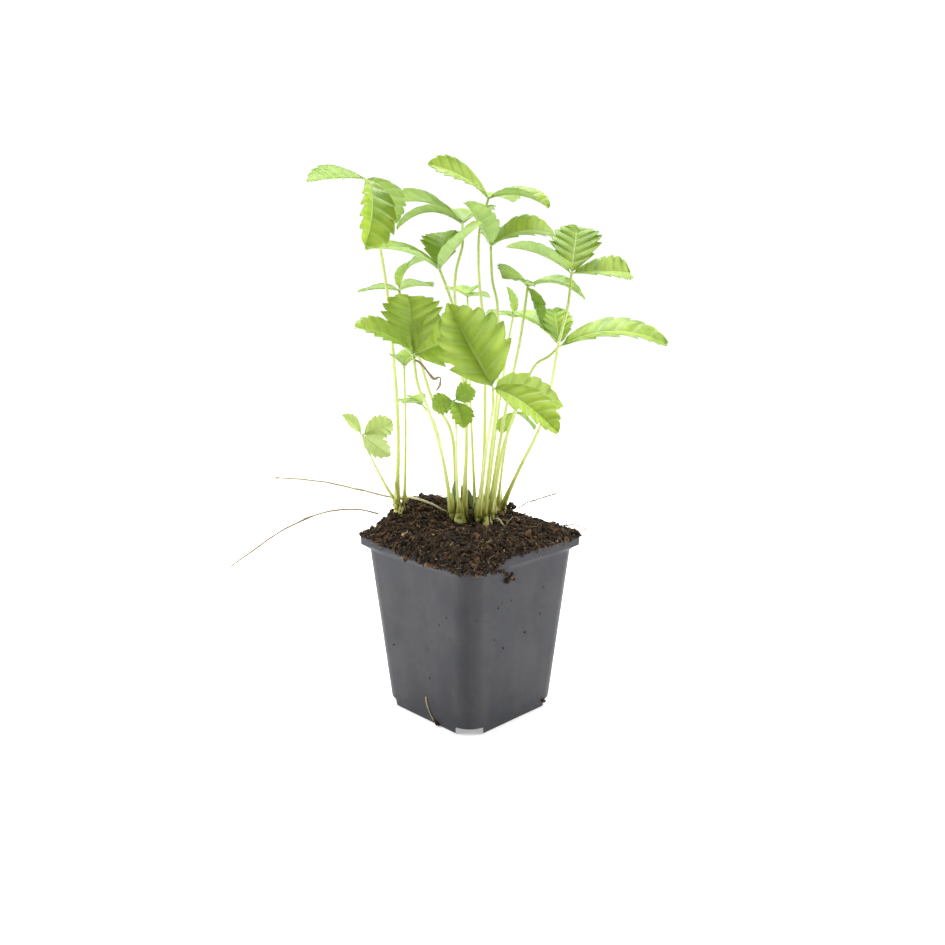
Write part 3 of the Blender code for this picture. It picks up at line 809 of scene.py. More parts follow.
# Each leaf has the stops of its stalk, then the tip, width, roll, arch and fold of each leaflet.
# Lengths are in millimetres and angles in degrees, and arch is a share of the length.
LEAVES = {
    "leaf_01": (
        [(-41, 4, 117), (-40, 7, 160), (-42, 8, 198), (-44, 1, 232), (-48, -3, 262), (-54, -4, 292)],
        [((-86, 6, 291), 19, 12, 0.04, 20), ((-52, -30, 257), 24, -40, 0.13, 26),
         ((-40, 10, 270), 22, -25, 0.10, 14)],
    ),
    "leaf_02": (
        [(5, 8, 111), (8, 12, 146), (8, 18, 207), (5, 22, 240), (5, 22, 266), (10, 20, 284)],
        [((-22, 6, 300), 21, -42, 0.08, 16), ((42, 8, 278), 18, 12, 0.12, 22),
         ((24, 50, 284), 22, 0, 0.06, 14)],
    ),
    "leaf_03": (
        [(8, 1, 111), (11, 1, 142), (15, 3, 180), (15, 3, 224), (12, 3, 240), (11, 0, 258)],
        [((-2, -13, 279), 24, -10, 0.06, 16), ((46, 12, 264), 24, 28, 0.14, 14),
         ((22, 36, 268), 22, 0, 0.06, 14)],
    ),
    "leaf_04": (
        [(19, 19, 113), (27, 14, 133), (39, 6, 161), (44, 0, 183), (47, -3, 204), (52, -4, 227),
         (54, 0, 244)],
        [((19, -13, 257), 18, 8, 0.08, 18), ((59, 26, 269), 28, 6, 0.02, 16),
         ((87, 14, 244), 20, 38, 0.03, 12)],
    ),
    "leaf_05": (
        [(-3, 3, 113), (-2, 5, 159), (-3, 12, 206), (-9, 8, 226), (-13, 1, 238), (-16, -4, 246)],
        [((-53, -20, 256), 20, -15, 0.10, 16), ((-14, 28, 266), 22, 0, 0.06, 16),
         ((6, -30, 268), 18, 25, 0.04, 18)],
    ),
    "leaf_06": (
        [(-4, 8, 113), (-2, 11, 157), (-6, 6, 207), (-8, -3, 232), (-7, -3, 246), (-4, 4, 258),
         (-4, 14, 270)],
        [((-39, 8, 267), 17, 10, 0.22, 14), ((-48, 34, 280), 24, 8, 0.15, 14),
         ((6, 54, 276), 22, 0, 0.10, 14)],
    ),
    "leaf_07": (
        [(-8, 8, 113), (-10, 9, 155), (-21, 12, 175), (-28, 15, 197), (-35, 16, 219), (-39, 14, 235)],
        [((-60, 4, 234), 12, 10, 0.06, 14), ((-20, 0, 237), 14, -10, 0.06, 14),
         ((-25, 34, 251), 15, -20, 0.16, 18)],
    ),
    "leaf_08": (
        [(-10, 1, 113), (-15, -6, 146), (-22, -14, 173), (-27, -18, 186), (-29, -22, 202)],
        [((-57, -36, 217), 23, -25, 0.10, 14), ((-32, -6, 232), 32, -4, 0.02, 24),
         ((-2, -8, 213), 30, 58, 0.03, 12)],
    ),
    "leaf_09": (
        [(5, 0, 111), (9, -16, 152), (12, -32, 175), (12, -44, 188)],
        [((-11, -30, 229), 38, -50, -0.02, 32), ((43, -62, 168), 22, 24, 0.08, 22),
         ((49, -26, 176), 26, 38, 0.03, 14)],
    ),
    "leaf_10": (
        [(11, 8, 111), (16, 14, 145), (21, 19, 173), (28, 24, 207), (32, 24, 237)],
        [((17, -1, 242), 23, -30, 0.06, 14), ((63, 18, 230), 16, 8, 0.16, 16),
         ((39, 24, 216), 11, 40, 0.04, 24)],
    ),
    "leaf_11": (
        [(12, 4, 111), (18, 10, 146), (24, 15, 163), (35, 20, 191), (44, 21, 198), (50, 20, 204)],
        [((110, 20, 205), 27, 24, 0.14, 12), ((48, 40, 224), 20, 0, 0.04, 22),
         ((25, 44, 222), 19, 0, 0.08, 18)],
    ),
    "leaf_12": (
        [(3, 5, 111), (0, 30, 172), (-1, 42, 212), (-2, 46, 231)],
        [((-15, 50, 235), 11, 0, 0.08, 14), ((11, 50, 230), 12, 0, 0.08, 14),
         ((0, 67, 235), 13, 0, 0.08, 14)],
    ),
    "leaf_13": (
        [(9, 8, 111), (17, 36, 171), (22, 48, 203), (25, 54, 219)],
        [((21, 56, 236), 12, 0, 0.05, 20), ((10, 66, 219), 14, 0, 0.06, 14),
         ((38, 72, 214), 15, 0, 0.06, 14)],
    ),
    "leaf_14": (
        [(16, 24, 113), (20, 26, 144), (25, 28, 166)],
        [((37, 30, 155), 13, 0, 0.08, 14), ((18, 20, 154), 11, 0, 0.08, 14),
         ((31, 46, 168), 15, 0, 0.08, 14)],
    ),
    "leaf_15": (
        [(-6, 0, 113), (-7, -11, 134), (-7, -20, 163), (-8, -24, 179)],
        [((-19, -27, 175), 13, -60, 0.06, 20), ((3, -23, 184), 12, 60, 0.06, 20),
         ((-3, -34, 166), 14, 0, 0.06, 20)],
    ),
    "leaf_16": (
        [(-11, 5, 113), (-16, 11, 146), (-21, 16, 163), (-27, 18, 171)],
        [((-38, 10, 173), 10, 0, 0.08, 14), ((-44, 24, 172), 11, 0, 0.08, 14),
         ((-34, 33, 174), 11, 0, 0.08, 14)],
    ),
    "leaf_17": (
        [(-42, 7, 117.4), (-47, 4, 127), (-54, 0, 143), (-59, -2, 157)],
        [((-69, -8, 169), 9, -50, 0.06, 14), ((-43, 6, 163), 14, 60, 0.06, 14),
         ((-43, -10, 147), 12, 60, 0.06, 14)],
    ),
    "leaf_18": (
        [(-37, 7, 117), (-36, 9, 158), (-36, 5, 194)],
        [((-43, -3, 201), 8, 0, 0.06, 14), ((-28, 0, 200), 8, 0, 0.06, 14), ((-35, 17, 202), 9, 0, 0.06, 14)],
    ),
}
STALK_FOOT = 1.3
STALK_TOP = 0.72
SMALL_STALK = 0.8
FIRST_SMALL = 11
STALK_SIDES = 10
STALK_SQUASH = 0.92
STALK_STEPS = 40
HUB_GAP = 0.46
WING_LENGTHS = (10.0, 19.0)
WING_RADIUS = 1.8
WING_WRAP = 2.6
WING_REACH = 0.4
HAIR_DENSITY = 0.9e6
HAIR_LENGTH = 0.0009
HAIR_RADIUS = 0.00003


def stalk_tissue():
    """Leaf stalk: juicy and half clear, cream to pale green, with fine ribs along it."""
    made, tree = blank_material("juicy_leaf_stalk")
    surface = surface_place(tree)
    share = node(tree, "ShaderNodeSeparateXYZ", {0: surface}).outputs[1]
    ribs = stretched(tree, surface, (9.0, 3.0, 1.0))
    streak = noise_at(tree, ribs, 1.6, 3.0)
    foot = blended(tree, stepped(tree, share, 0.0, 0.16), "#B4B54C", "#DFE394")
    shaft = blended(tree, stepped(tree, share, 0.12, 0.5), foot, "#E2E9AC")
    top = blended(tree, stepped(tree, share, 0.6, 1.0), shaft, "#C0D272")
    colour = blended(tree, stepped(tree, streak, 0.45, 0.75, 0.0, 0.35), top, "#9DB24E")
    bump = bumped(tree, streak, 0.25, 0.0002)
    show(tree, lit_through(tree, 0.3, coated(tree, colour, 0.42, 1.42, bump), colour, bump))
    return made


def hair_material():
    """Plant hair: clear, colourless and fine, so it only catches the light."""
    made, tree = blank_material("clear_plant_hair")
    place_on = object_place(tree)
    vary = noise_at(tree, place_on, 90.0, 1.0)
    colour = blended(tree, vary, "#E9F0C4", "#FBFCEB")
    show(tree, lit_through(tree, 0.5, coated(tree, colour, 0.35, 1.5), colour))
    return made


def hair_tree():
    """Fine tapering hairs standing out from a surface, each a three-sided spike."""
    tree, given, out = group_with("standing_hairs", {
        "Density": "NodeSocketFloat", "Length": "NodeSocketFloat", "Radius": "NodeSocketFloat",
        "Seed": "NodeSocketInt", "Look": "NodeSocketMaterial"})
    points = points_on(tree, given, "Density")
    spike = node(tree, "GeometryNodeMeshCone", {
        "Vertices": 3, "Radius Top": 0.0, "Radius Bottom": given.outputs["Radius"],
        "Depth": given.outputs["Length"]}, fill_type="NGON")
    scale = node(tree, "ShaderNodeCombineXYZ", {0: 1.0, 1: 1.0, 2: chance(tree, 6, 0.45, 1.1)})
    tilted = node(tree, "FunctionNodeEulerToRotation", {
        0: chance(tree, 12, (-0.5, -0.5, 0.0), (0.5, 0.5, 6.28))})
    turn = node(tree, "FunctionNodeRotateRotation", {
        "Rotation": points.outputs["Rotation"], "Rotate By": tilted.outputs[0]}, rotation_space="LOCAL")
    strewn = node(tree, "GeometryNodeInstanceOnPoints", {
        "Points": points.outputs["Points"], "Instance": spike.outputs["Mesh"],
        "Rotation": turn.outputs[0], "Scale": scale.outputs[0]})
    return finish_tree(tree, given, out, strewn.outputs[0])


stalk_look = stalk_tissue()
all_stalks = new_store()
for number, (name, (stops, _)) in enumerate(LEAVES.items()):
    draw = random.Random(100 + number)
    hub = Vector(stops[-1])
    back = (Vector(stops[-2]) - hub).normalized() * HUB_GAP
    route = smooth_route(list(stops[:-1]) + [tuple(hub + back)], STALK_STEPS)
    slim = SMALL_STALK if number >= FIRST_SMALL else 1.0

    def stalk_radius(share, angle):
        taper = STALK_FOOT + (STALK_TOP - STALK_FOOT) * share ** 0.8
        foot = 1.0 + 0.75 * math.exp(-share / 0.045)
        groove = 1 - 0.14 * max(0.0, math.cos(angle)) ** 4
        return slim * taper * foot * groove

    stalk = new_store()
    add_part(stalk, *tube(route, stalk_radius, STALK_SIDES, STALK_SQUASH))
    if name != "leaf_18":
        foot = route[0] - Vector((0, 0, 3.0))
        turn = draw.uniform(0, 2 * math.pi)
        for wing in (0.0, math.pi):
            verts, faces, uvs, tones = scale_leaf(foot, turn + wing, draw.uniform(*WING_LENGTHS), WING_RADIUS,
                                                  WING_WRAP, draw.uniform(-0.4, 0.0), 0.5)
            add_part(stalk, verts, faces, [(u, WING_REACH * v) for u, v in uvs], tones)
    place(object_of(name + "_petiole", stalk, stalk_look), "leaf_stalk", name + "_stalk")
    add_part(all_stalks, *tube(route, stalk_radius, STALK_SIDES, STALK_SQUASH))

hair_look = hair_material()
skin = object_of("stalk_skin", all_stalks, hair_look)
hairs = run_group("stalk_hairs", skin, hair_tree(), {
    "Density": HAIR_DENSITY, "Length": HAIR_LENGTH, "Radius": HAIR_RADIUS, "Seed": 17,
    "Look": hair_look}, hair_look)
bpy.data.objects.remove(skin)
place(hairs, "leaf_stalk")

# ---------------------------------------------------------------------------------------------
# Leaf blades: three toothed leaflets to a leaf, each folded along its midrib and pleated between
# its side veins. The upper side is bright and glossy and the lower one pale and dull.

BLADE_THICK = 0.32
LEAFLET_START = 1.2
LEAFLET_COLUMNS = (0.0, 0.04, 0.1, 0.2, 0.34, 0.5, 0.64, 0.76, 0.86, 0.94, 1.0)
TOOTH_STEPS = (0.0, 0.12, 0.24, 0.36, 0.52, 0.68, 0.84)
TOOTH_FALL = 0.24
TOOTH_DEPTH = 0.25
TOOTH_LEAN = 0.05
VEIN_SLANT = 0.17
# Each leaf's tone, from 0 the light young green to 1 the deep grown green. The low tones of leaf_08 and
# leaf_09 are partly painted light: their lighter green makes them look brightly lit, though little light
# falls on them from the front. A tone below 0, as on leaf_17, gives the painted pale haze.
TONES = {"leaf_01": 0.4, "leaf_02": 0.35, "leaf_03": 0.45, "leaf_04": 0.55, "leaf_05": 0.4, "leaf_06": 0.5,
         "leaf_07": 0.5, "leaf_08": 0.1, "leaf_09": 0.05, "leaf_10": 0.7, "leaf_11": 0.6, "leaf_12": 0.6,
         "leaf_13": 0.8, "leaf_14": 0.7, "leaf_15": 0.35, "leaf_16": 0.6, "leaf_17": -0.5, "leaf_18": 0.0}
YOUNG_GREEN = "#B9CF56"
YOUNG_DEEP = "#ABC443"
GROWN_GREEN = "#9DB948"
# Deep green of grown leaves, also used as the painted shade laid in the pleat valleys along the side veins.
GROWN_DEEP_AND_SHADE = "#759838"
VEIN_GREEN = "#D6E592"
UNDER_GREEN = "#B4CB86"
UNDER_DEEP = "#A0BD72"
# Painted haze: a pale wash over a leaf whose tone is below 0. It stands in for the white backdrop's light
# blurred over the leaf where it is out of focus.
PAINTED_HAZE_GREEN = "#DCE9A8"
RIB_RADIUS = 0.5
RIB_REACH = 0.94
UNDER_MARK = 2.0
RIB_MARK = 4.0
WIDEST = 0.55
WIDEST_AT = {("leaf_01", 1): 0.68, ("leaf_04", 2): 0.72, ("leaf_09", 0): 0.3, ("leaf_09", 2): 0.38,
             ("leaf_08", 0): 0.66, ("leaf_08", 1): 0.62, ("leaf_08", 2): 0.5}


def leaf_outline(share, widest):
    """Half width as a share of the greatest, along the blade: a wedge or round foot, then a blunt tip."""
    foot = 0.92 if widest > 0.5 else 0.72
    tip = foot * (1 - widest) / widest if widest > 0.5 else 1.0
    shape = (share / widest) ** foot * ((1 - share) / (1 - widest)) ** tip
    return min(1.0, shape)


def tooth_shape(part):
    """How far a tooth stands out along its length: a short fall from the last point, then a long rise."""
    if part < TOOTH_FALL:
        return 1 - part / TOOTH_FALL
    return ((part - TOOTH_FALL) / (1 - TOOTH_FALL)) ** 0.6


def leaflet(hub, tip, width, roll, arch, fold, veins, widest, draw, tone):
    """A leaflet as a closed pleated sheet with toothed edges, and the ridge of its midrib beneath."""
    hub = Vector(hub)
    tip = Vector(tip)
    run = tip - hub
    way = run.normalized()
    up = Vector((0, 0, 1))
    normal = Matrix.Rotation(math.radians(roll), 3, way) @ (up - way * up.dot(way)).normalized()
    crest = (hub + tip) / 2 + normal * (2 * arch * run.length)
    start = hub + (crest - hub).normalized() * LEAFLET_START
    angle = math.radians(fold + draw.uniform(-2, 5))
    pleat = 0.03 * width
    wave = draw.uniform(0, 6)
    curl = draw.uniform(-0.10, 0.16)
    lopsided = draw.uniform(-0.07, 0.07)
    shares = [(k + f) / veins for k in range(veins) for f in TOOTH_STEPS] + [1.0]
    columns = [-c for c in reversed(LEAFLET_COLUMNS[1:])] + list(LEAFLET_COLUMNS)
    rows = []
    for share in shares:
        edge_share = share + VEIN_SLANT * math.sin(math.pi * share ** 0.8) * (1 - 0.3 * share)
        broad = leaf_outline(min(1.0, edge_share), widest)
        half = max(broad, 0.03) * width / 2
        tooth = tooth_shape((share * veins) % 1.0)
        row = []
        for across in columns:
            out = abs(across)
            edge = max(0.0, (out - 0.5) / 0.5) ** 1.4
            reach = share + (edge_share - share) * out ** 1.2
            reach = min(1.0, reach + TOOTH_LEAN * edge * (tooth - 0.3) * (1 - share ** 4))
            middle = start.lerp(crest, reach).lerp(crest.lerp(tip, reach), reach)
            along = (crest - start).lerp(tip - crest, reach).normalized()
            side = along.cross(normal).normalized()
            lift = side.cross(along).normalized()
            bite = TOOTH_DEPTH * edge * (tooth - 0.6) * min(1.0, 0.3 + broad)
            spread = half * (out + bite) * math.copysign(1.0 + lopsided * math.copysign(1.0, across), across)
            rise = half * math.sin(angle) * (out - curl * out ** 3)
            quilt = abs(math.sin(math.pi * share * veins)) * out ** 0.5 * (1 - 0.5 * out ** 2)
            rise += pleat * quilt * min(1.0, 2.2 * broad)
            rise += 0.04 * width * out * out * math.sin(5.5 * share + wave + 1.6 * across)
            row.append(turned(middle + side * spread * math.cos(angle) + lift * rise))
        rows.append(row)
    verts, faces, places = thick_sheet(rows, BLADE_THICK * MM)
    uvs = [(0.5 + columns[c] / 2, shares[r] * veins) for r, c, _ in places]
    tones = [tone + (0.0 if above else UNDER_MARK) for _, _, above in places]
    rib_route = [hub]
    for k in range(15):
        reach = k / 14 * RIB_REACH
        middle = start.lerp(crest, reach).lerp(crest.lerp(tip, reach), reach)
        rib_route.append(middle - normal * 0.3)
    rib = tube(rib_route, lambda share, angle: RIB_RADIUS * (1 - 0.8 * share), sides=6, tone=RIB_MARK)
    return (verts, faces, uvs, tones), rib


def leaf_surface():
    """Leaf blade: waxy and bright with pale veins above, pale and dull below. Light comes through. Painted
    shade darkens the pleat valleys above; a tone below 0 adds a painted pale haze.
    """
    made, tree = blank_material("waxy_leaf_blade")
    surface = surface_place(tree)
    parts = node(tree, "ShaderNodeSeparateXYZ", {0: surface})
    place_on = object_place(tree)
    marks = own_tone(tree)
    below = sum_of(tree, "GREATER_THAN", marks, UNDER_MARK - 1.0)
    rib = sum_of(tree, "GREATER_THAN", marks, RIB_MARK - 0.5)
    drop = sum_of(tree, "MULTIPLY", below, UNDER_MARK)
    tone = sum_of(tree, "SUBTRACT", marks, drop)
    # Painted haze: how much pale wash a leaf with a tone below 0 gets.
    painted_haze = stepped(tree, tone, -0.6, 0.0, 0.8, 0.0)
    centred = sum_of(tree, "SUBTRACT", parts.outputs[0], 0.5)
    off = sum_of(tree, "ABSOLUTE", centred)
    midrib = stepped(tree, off, 0.01, 0.036, 2.1, 0.0)
    beside = sum_of(tree, "PINGPONG", parts.outputs[1], 0.5)
    side_vein = stepped(tree, beside, 0.02, 0.1, 0.7, 0.0)
    fade = stepped(tree, off, 0.25, 0.5, 1.0, 0.3)
    side_vein = sum_of(tree, "MULTIPLY", side_vein, fade)
    net = stretched(tree, surface, (16.0, 5.0, 1.0))
    cells = node(tree, "ShaderNodeTexVoronoi", {"Vector": net, "Scale": 1.0},
                 feature="DISTANCE_TO_EDGE").outputs["Distance"]
    small_vein = either(tree, below, stepped(tree, cells, 0.02, 0.12, 0.25, 0.0), 0.0)
    veins = sum_of(tree, "MAXIMUM", midrib, side_vein)
    veins = sum_of(tree, "MAXIMUM", veins, small_vein)
    mottle = noise_at(tree, place_on, 130.0, 4.0)
    cloud = noise_at(tree, place_on, 45.0, 2.0)
    patch = stepped(tree, mottle, 0.35, 0.65)
    young = blended(tree, patch, YOUNG_GREEN, YOUNG_DEEP)
    grown = blended(tree, patch, GROWN_GREEN, GROWN_DEEP_AND_SHADE)
    shade = sum_of(tree, "ADD", stepped(tree, cloud, 0.35, 0.65, -0.4, 0.4), tone, use_clamp=True)
    upper = blended(tree, shade, young, grown)
    # Painted shade: the upper side is darkened in the pleat valleys along the side veins, where shade falls.
    painted_valley_shade = stepped(tree, beside, 0.5, 0.2, 0.0, 0.34)
    upper = blended(tree, painted_valley_shade, upper, GROWN_DEEP_AND_SHADE)
    share = sum_of(tree, "MULTIPLY", veins, 0.4)
    upper = blended(tree, share, upper, VEIN_GREEN)
    upper = blended(tree, painted_haze, upper, PAINTED_HAZE_GREEN)
    lower = blended(tree, stepped(tree, mottle, 0.3, 0.7), UNDER_GREEN, UNDER_DEEP)
    lower = blended(tree, share, lower, "#D8E8AE")
    lower = blended(tree, rib, lower, "#CFE09A")
    colour = blended(tree, below, upper, lower)
    rough = either(tree, below, 0.4, 0.62)
    height = sum_of(tree, "SUBTRACT", 1.0, veins)
    strength = either(tree, below, 0.35, 0.05)
    bump = bumped(tree, height, strength, 0.0002)
    through = blended(tree, shade, "#D0DF58", "#B2CD44")
    show(tree, lit_through(tree, 0.34, coated(tree, colour, rough, 1.42, bump), through, bump))
    return made


leaf_look = leaf_surface()
for number, (name, (stops, leaflets)) in enumerate(LEAVES.items()):
    draw = random.Random(200 + number)
    blade = new_store()
    for place_in, (tip, width, roll, arch, fold) in enumerate(leaflets):
        veins = 6 if width > 17 else 5
        widest = WIDEST_AT.get((name, place_in), WIDEST)
        sheet, rib = leaflet(stops[-1], tip, width, roll, arch, fold, veins, widest, draw, TONES[name])
        add_part(blade, *sheet)
        add_part(blade, *rib)
    place(object_of(name + "_leaflets", blade, leaf_look), "leaf_blade", name + "_blade")

# ---------------------------------------------------------------------------------------------
# Strands: three dried runners, wiry and kinked, straw or brown. Two hang out over the lip on the left
# and a short one stands up on the right. Each has its stops, its radius and its tone.

STRANDS = {
    "runner_pale": ([(-107, -6, 134), (-85, 0, 131), (-65, 8, 124.8), (-48, 14, 119.2), (-36, 15, 117)],
                    0.95, 0.8),
    "runner_brown": ([(-126, -36, 92), (-111, -30, 102.5), (-99, -26, 110), (-82, -18, 116.4),
                      (-65, -8, 116.8), (-51, -2, 112.8)], 0.85, 0.35),
    "runner_short": ([(28, 24, 109.6), (33, 22, 113.4), (40.5, 21, 116.2), (49.5, 19, 119.6)], 0.7, 0.6),
}
SWAY = 0.35


def dried_runner():
    """Dried runner: a shrunken fibrous stem, straw-coloured to brown, dull."""
    made, tree = blank_material("dried_runner_stem")
    surface = surface_place(tree)
    tone = own_tone(tree)
    ribs = stretched(tree, surface, (6.0, 14.0, 1.0))
    streak = noise_at(tree, ribs, 2.0, 4.0)
    colour = blended(tree, tone, "#7E5A42", "#C2BE95")
    colour = blended(tree, stepped(tree, streak, 0.4, 0.7, 0.0, 0.55), colour, "#5C3C26")
    bump = bumped(tree, streak, 0.5, 0.0002)
    show(tree, coated(tree, colour, 0.65, 1.4, bump))
    return made


runner_look = dried_runner()
for number, (name, (stops, thick, tone)) in enumerate(STRANDS.items()):
    kinked = [point + noise.noise_vector(Vector((k * 0.23, number * 9.1, 0.0))) * SWAY
              for k, point in enumerate(smooth_route(stops, 44))]

    def strand_radius(share, angle):
        bead = 0.35 * max(0.0, math.cos(math.pi * 3.2 * share + number)) ** 30
        shrunk = 0.62 + 0.16 * math.sin(3 * angle + 11 * share)
        return thick * (shrunk + bead) * (0.75 + 0.25 * share)

    strand = new_store()
    add_part(strand, *tube(kinked, strand_radius, sides=8, squash=0.8, tone=tone))
    place(object_of(name + "_stem", strand, runner_look), "dried_runner", name)

# ---------------------------------------------------------------------------------------------
# Litter: dead bits among the stalks and on the pot. Short roots, a flat dead stalk and a black twig
# lie on the soil, a dried leaf curls off one stalk, and specks of wet peat stick to the pot's sides.

# Each bit has its stops, its radius, its tone, its thickness as a share of its width, and how far it frays.
LITTER = {
    "dead_stalk": ([(-41, 20, 117.5), (-34, 14, 118.4), (-27, 10, 117.6), (-20, 8, 115.2), (-13, 7, 111.5)],
                   0.95, 0.95, 0.35, 0.0),
    "cream_root": ([(14.5, 0, 109.6), (16, 0, 109.2), (18, -1, 107), (19.8, -2, 104.6)], 0.6, 1.0, 0.8, 0.0),
    "tan_root": ([(19.5, 0, 104.8), (21, 1, 107), (23, 2, 109), (24, 3, 109.4)], 0.4, 0.6, 0.8, 0.0),
    "dried_leaf": ([(-29, -20.8, 200), (-25, -20, 197.6), (-21.8, -20, 193.4), (-18.7, -20, 189.8),
                    (-15.4, -20, 190.8), (-15.6, -20.4, 186.6), (-17.7, -20, 183.5)], 0.55, 0.3, 0.8, 1.6),
    "corner_fibre": ([(54, 2, 105.4), (60, -1, 106), (64, -4, 104.6), (66, -9, 102)], 0.35, 0.3, 0.8, 0.0),
}
# On the pot's sides: the place along the side, the height and the radius.
POT_ROOT = [(-2.7, 15.4), (-2.6, 11.8), (-4.0, 8.0), (-6.2, 4.2), (-8.9, 1.3)]
FRONT_SPECKS = (
    (-19.7, 72.3, 0.4), (2.9, 52.4, 0.5), (-13.4, 47.7, 0.45), (14.3, 60.5, 0.4), (15.8, 75.5, 0.35),
    (-21.0, 54.5, 0.35), (-9.9, 74.3, 0.3), (23.8, 4.3, 1.0), (25.2, 3.4, 0.7),
)
SIDE_SPECKS = (
    (22.1, 39.1, 0.45), (-18.2, 62.3, 0.35), (-6.7, 27.9, 0.4), (-24.1, 67.9, 0.35), (-10.0, 1.5, 1.0),
    (-8.4, 2.4, 0.7), (-11.6, 1.2, 0.7),
)
HANGING_CLUMP = (
    (-26.0, 93.6, 1.5), (-22.8, 94.0, 1.3), (-20.2, 92.6, 1.1), (-17.6, 91.6, 0.9), (-15.4, 90.2, 1.1),
    (-14.9, 86.6, 1.7), (-12.2, 87.6, 1.3), (-11.0, 89.4, 0.9), (-9.4, 86.0, 0.8),
)
PROUD = 0.35


def lump_of_peat(middle, radius, seed):
    """A rough closed lump in metres, with its surface coordinates and tone."""
    work = bmesh.new()
    bmesh.ops.create_icosphere(work, subdivisions=3, radius=1.0)
    verts = []
    for vert in work.verts:
        rough = 0.9 + 0.6 * noise.noise(vert.co * 1.4 + Vector((seed, 0, 0)))
        rough += 0.25 * noise.noise(vert.co * 4)
        verts.append(tuple((Vector(middle) + vert.co * rough * radius) * MM))
    faces = [tuple(vert.index for vert in face.verts) for face in work.faces]
    work.free()
    tone = 0.35 + 0.45 * ((seed * 0.37) % 1.0)
    return verts, faces, [(0.5, 0.5)] * len(verts), [tone] * len(verts)


def on_pot(point):
    """A point of the pot's frame in the plant's frame, both in millimetres."""
    return Matrix.Rotation(-PLANT_TURN, 3, "Z") @ Vector(point)


for number, (name, (stops, thick, tone, flat, fray)) in enumerate(LITTER.items()):
    bit = new_store()
    route = [point + noise.noise_vector(Vector((k * 0.3, number * 5.3, 4.0))) * SWAY
             for k, point in enumerate(smooth_route(stops, 24))]
    add_part(bit, *tube(route, lambda share, angle: thick * (1 - 0.6 * share ** 3)
                        * (1 + fray * share * math.sin(9 * share) ** 2), sides=8, squash=flat, tone=tone))
    place(object_of(name, bit, runner_look), "dried_runner")
root = new_store()
route = smooth_route([tuple(on_pot((-wall_side(z) / 2 - 0.2, y, z))) for y, z in POT_ROOT], 20)
add_part(root, *tube(route, lambda share, angle: 0.5 * (1 - 0.4 * share), sides=8, tone=0.6))
place(object_of("root_on_pot", root, runner_look), "dried_runner")

specks = new_store()
stuck = [((x, -wall_side(z) / 2 - PROUD * size, z), size) for x, z, size in FRONT_SPECKS + HANGING_CLUMP]
stuck += [((-wall_side(z) / 2 - PROUD * size, y, z), size) for y, z, size in SIDE_SPECKS]
for number, (middle, size) in enumerate(stuck):
    add_part(specks, *lump_of_peat(middle, size, number + 1))
place(object_of("peat_specks", specks, crumb_look), "peat")
twig = new_store()
add_part(twig, *tube(smooth_route([(13.4, 6, 105), (13.6, 6, 110), (13.4, 6, 116.5)], 12),
                     lambda share, angle: 0.95 * (1 + 0.1 * math.sin(3 * angle)), sides=10, tone=0.0))
for number, middle in enumerate(((23.6, 26, 111.4), (22.4, 27, 110.0), (25.4, 27, 109.6))):
    add_part(twig, *lump_of_peat(turned(middle) / MM, 1.6, 40 + number))
place(object_of("bark_bits", twig, crumb_look), "peat")

# ---------------------------------------------------------------------------------------------
# Young shoots: two new leaves still furled, their leaflets folded like fans inside silky hairs.

# Each shoot has its stops and its radius.
YOUNG_SHOOTS = {
    "young_shoot_1": ([(-8.5, 4.5, 113.4), (-9, 5, 121), (-8.5, 5, 130)], 0.9),
    "young_shoot_2": ([(2, 8.5, 111.2), (0, 11, 118), (-1, 11, 124)], 0.9),
}


def furled_leaf():
    """Furled leaf: dull grey-green under a nap of silky hair."""
    made, tree = blank_material("silky_furled_leaf")
    surface = surface_place(tree)
    ribs = stretched(tree, surface, (10.0, 2.0, 1.0))
    streak = noise_at(tree, ribs, 2.0, 3.0)
    colour = blended(tree, streak, "#5E7440", "#A3B57C")
    bump = bumped(tree, streak, 0.4, 0.0002)
    show(tree, coated(tree, colour, 0.6, 1.42, bump, 0.4))
    return made


shoot_look = furled_leaf()
for name, (stops, thick) in YOUNG_SHOOTS.items():
    route = smooth_route(stops, 26)

    def shoot_radius(share, angle):
        bud = 0.95 * math.exp(-((share - 0.72) / 0.2) ** 2)
        close = math.sqrt(max(0.03, 1 - max(0.0, (share - 0.75) / 0.25) ** 2))
        pleats = 1 + 0.13 * math.cos(7 * angle) * min(1.0, bud)
        return thick * (0.75 + bud) * close * pleats

    shoot = new_store()
    add_part(shoot, *tube(route, shoot_radius, sides=28, squash=0.75))
    place(object_of(name + "_bud", shoot, shoot_look), "young_shoot", name)

# ---------------------------------------------------------------------------------------------
# Studio: a plain pale floor and a white sweep all round, dim behind the camera, soft light from both
# sides and above, and a camera that looks at the pot's front corner.

SENSOR = 36.0
FOCAL_LENGTH = 36.38095
CAMERA_PITCH = math.radians(11.66)
CAMERA_YAW = math.radians(-44.55)
CAMERA_DISTANCE = 0.529
CAMERA_AIM = (0.0014, 0.1358)
SWEEP_LIGHT = 1.04
DARK_FRONT = 0.12
ROOM_LIGHT = 0.92
FLOOR_GLOW = 0.42
SOFTBOXES = {
    "left_softbox": ((-1.15, -0.15, 0.7), 0.8, 14.5),
    "right_softbox": ((1.15, -0.1, 0.8), 0.8, 12.5),
    "top_softbox": ((0.1, 0.45, 1.3), 0.9, 21.5),
}

bpy.ops.mesh.primitive_plane_add(size=8.0)
floor = bpy.context.object
floor.name = "floor"
floor_look, floor_tree = blank_material("matt_white_floor")
paper = node(floor_tree, "ShaderNodeBsdfPrincipled", {"Base Color": linear("#FBFBFB"), "Roughness": 0.95,
                                                     "Emission Color": (1.0, 1.0, 1.0, 1.0),
                                                     "Emission Strength": FLOOR_GLOW})
show(floor_tree, paper.outputs[0])
floor.data.materials.append(floor_look)

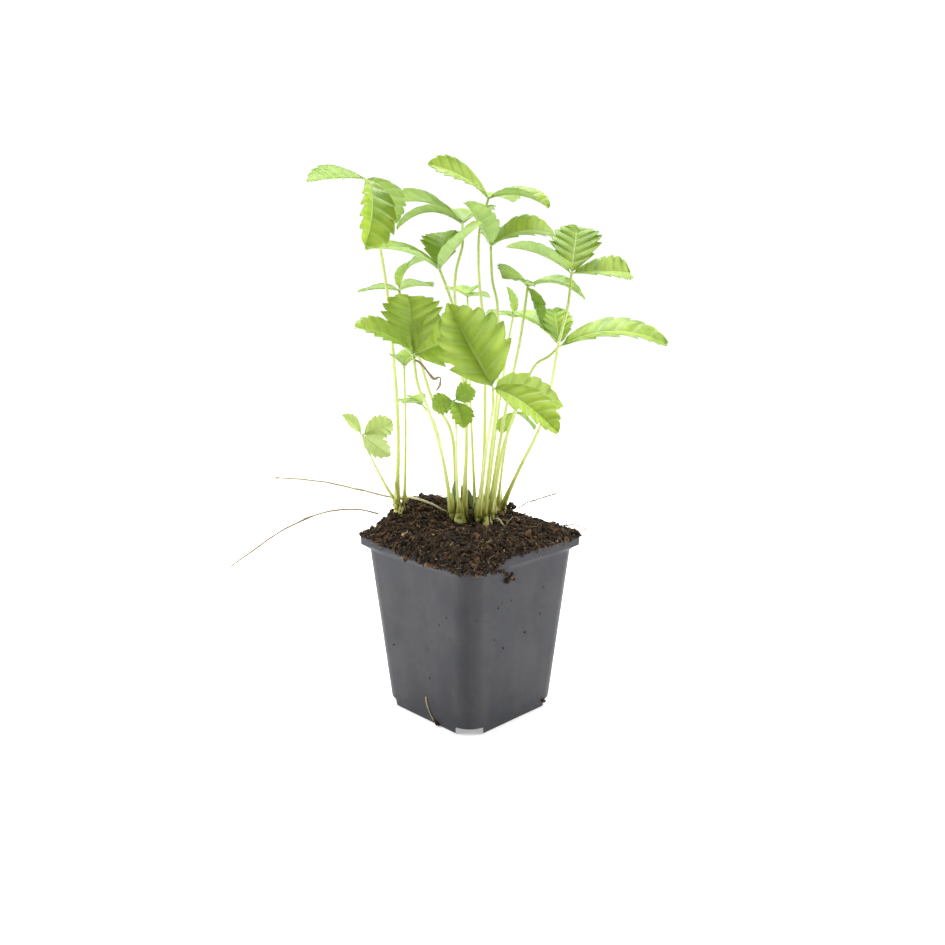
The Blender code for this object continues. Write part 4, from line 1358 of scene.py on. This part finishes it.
world = bpy.data.worlds.new("studio")
bpy.context.scene.world = world
world.use_nodes = True
sky = world.node_tree
sky.nodes.clear()
heading = node(sky, "ShaderNodeTexCoord").outputs["Generated"]
front = (math.sin(CAMERA_YAW) * 0.97, -math.cos(CAMERA_YAW) * 0.97, 0.24)
facing = node(sky, "ShaderNodeVectorMath", {0: heading, 1: front}, operation="DOT_PRODUCT").outputs["Value"]
room = stepped(sky, facing, 0.1, 0.6, ROOM_LIGHT, DARK_FRONT)
seen = node(sky, "ShaderNodeLightPath").outputs["Is Camera Ray"]
strength = either(sky, seen, room, SWEEP_LIGHT)
backdrop = node(sky, "ShaderNodeBackground", {"Color": (1.0, 1.0, 1.0, 1.0), "Strength": strength})
node(sky, "ShaderNodeOutputWorld", {"Surface": backdrop.outputs[0]})


def softbox(name, at, size, power):
    """A square area light that points at the middle of the plant."""
    lamp = bpy.data.lights.new(name, "AREA")
    lamp.shape = "SQUARE"
    lamp.size = size
    lamp.energy = power
    made = bpy.data.objects.new(name, lamp)
    bpy.context.scene.collection.objects.link(made)
    facing = Vector((0, 0, 0.15)) - Vector(at)
    made.matrix_world = Matrix.Translation(at) @ facing.to_track_quat("-Z", "Y").to_matrix().to_4x4()


for name, (at, size, power) in SOFTBOXES.items():
    softbox(name, Matrix.Rotation(CAMERA_YAW, 3, "Z") @ Vector(at), size, power)

lens = bpy.data.cameras.new("camera")
lens.sensor_width = SENSOR
lens.lens = FOCAL_LENGTH
camera = bpy.data.objects.new("camera", lens)
bpy.context.scene.collection.objects.link(camera)
across, height = CAMERA_AIM
eye = Vector((across, -CAMERA_DISTANCE * math.cos(CAMERA_PITCH),
              height + CAMERA_DISTANCE * math.sin(CAMERA_PITCH)))
camera.matrix_world = (Matrix.Rotation(CAMERA_YAW, 4, "Z") @ Matrix.Translation(eye)
                       @ Matrix.Rotation(math.pi / 2 - CAMERA_PITCH, 4, "X"))
bpy.context.scene.camera = camera
bpy.context.scene.view_settings.view_transform = "Standard"
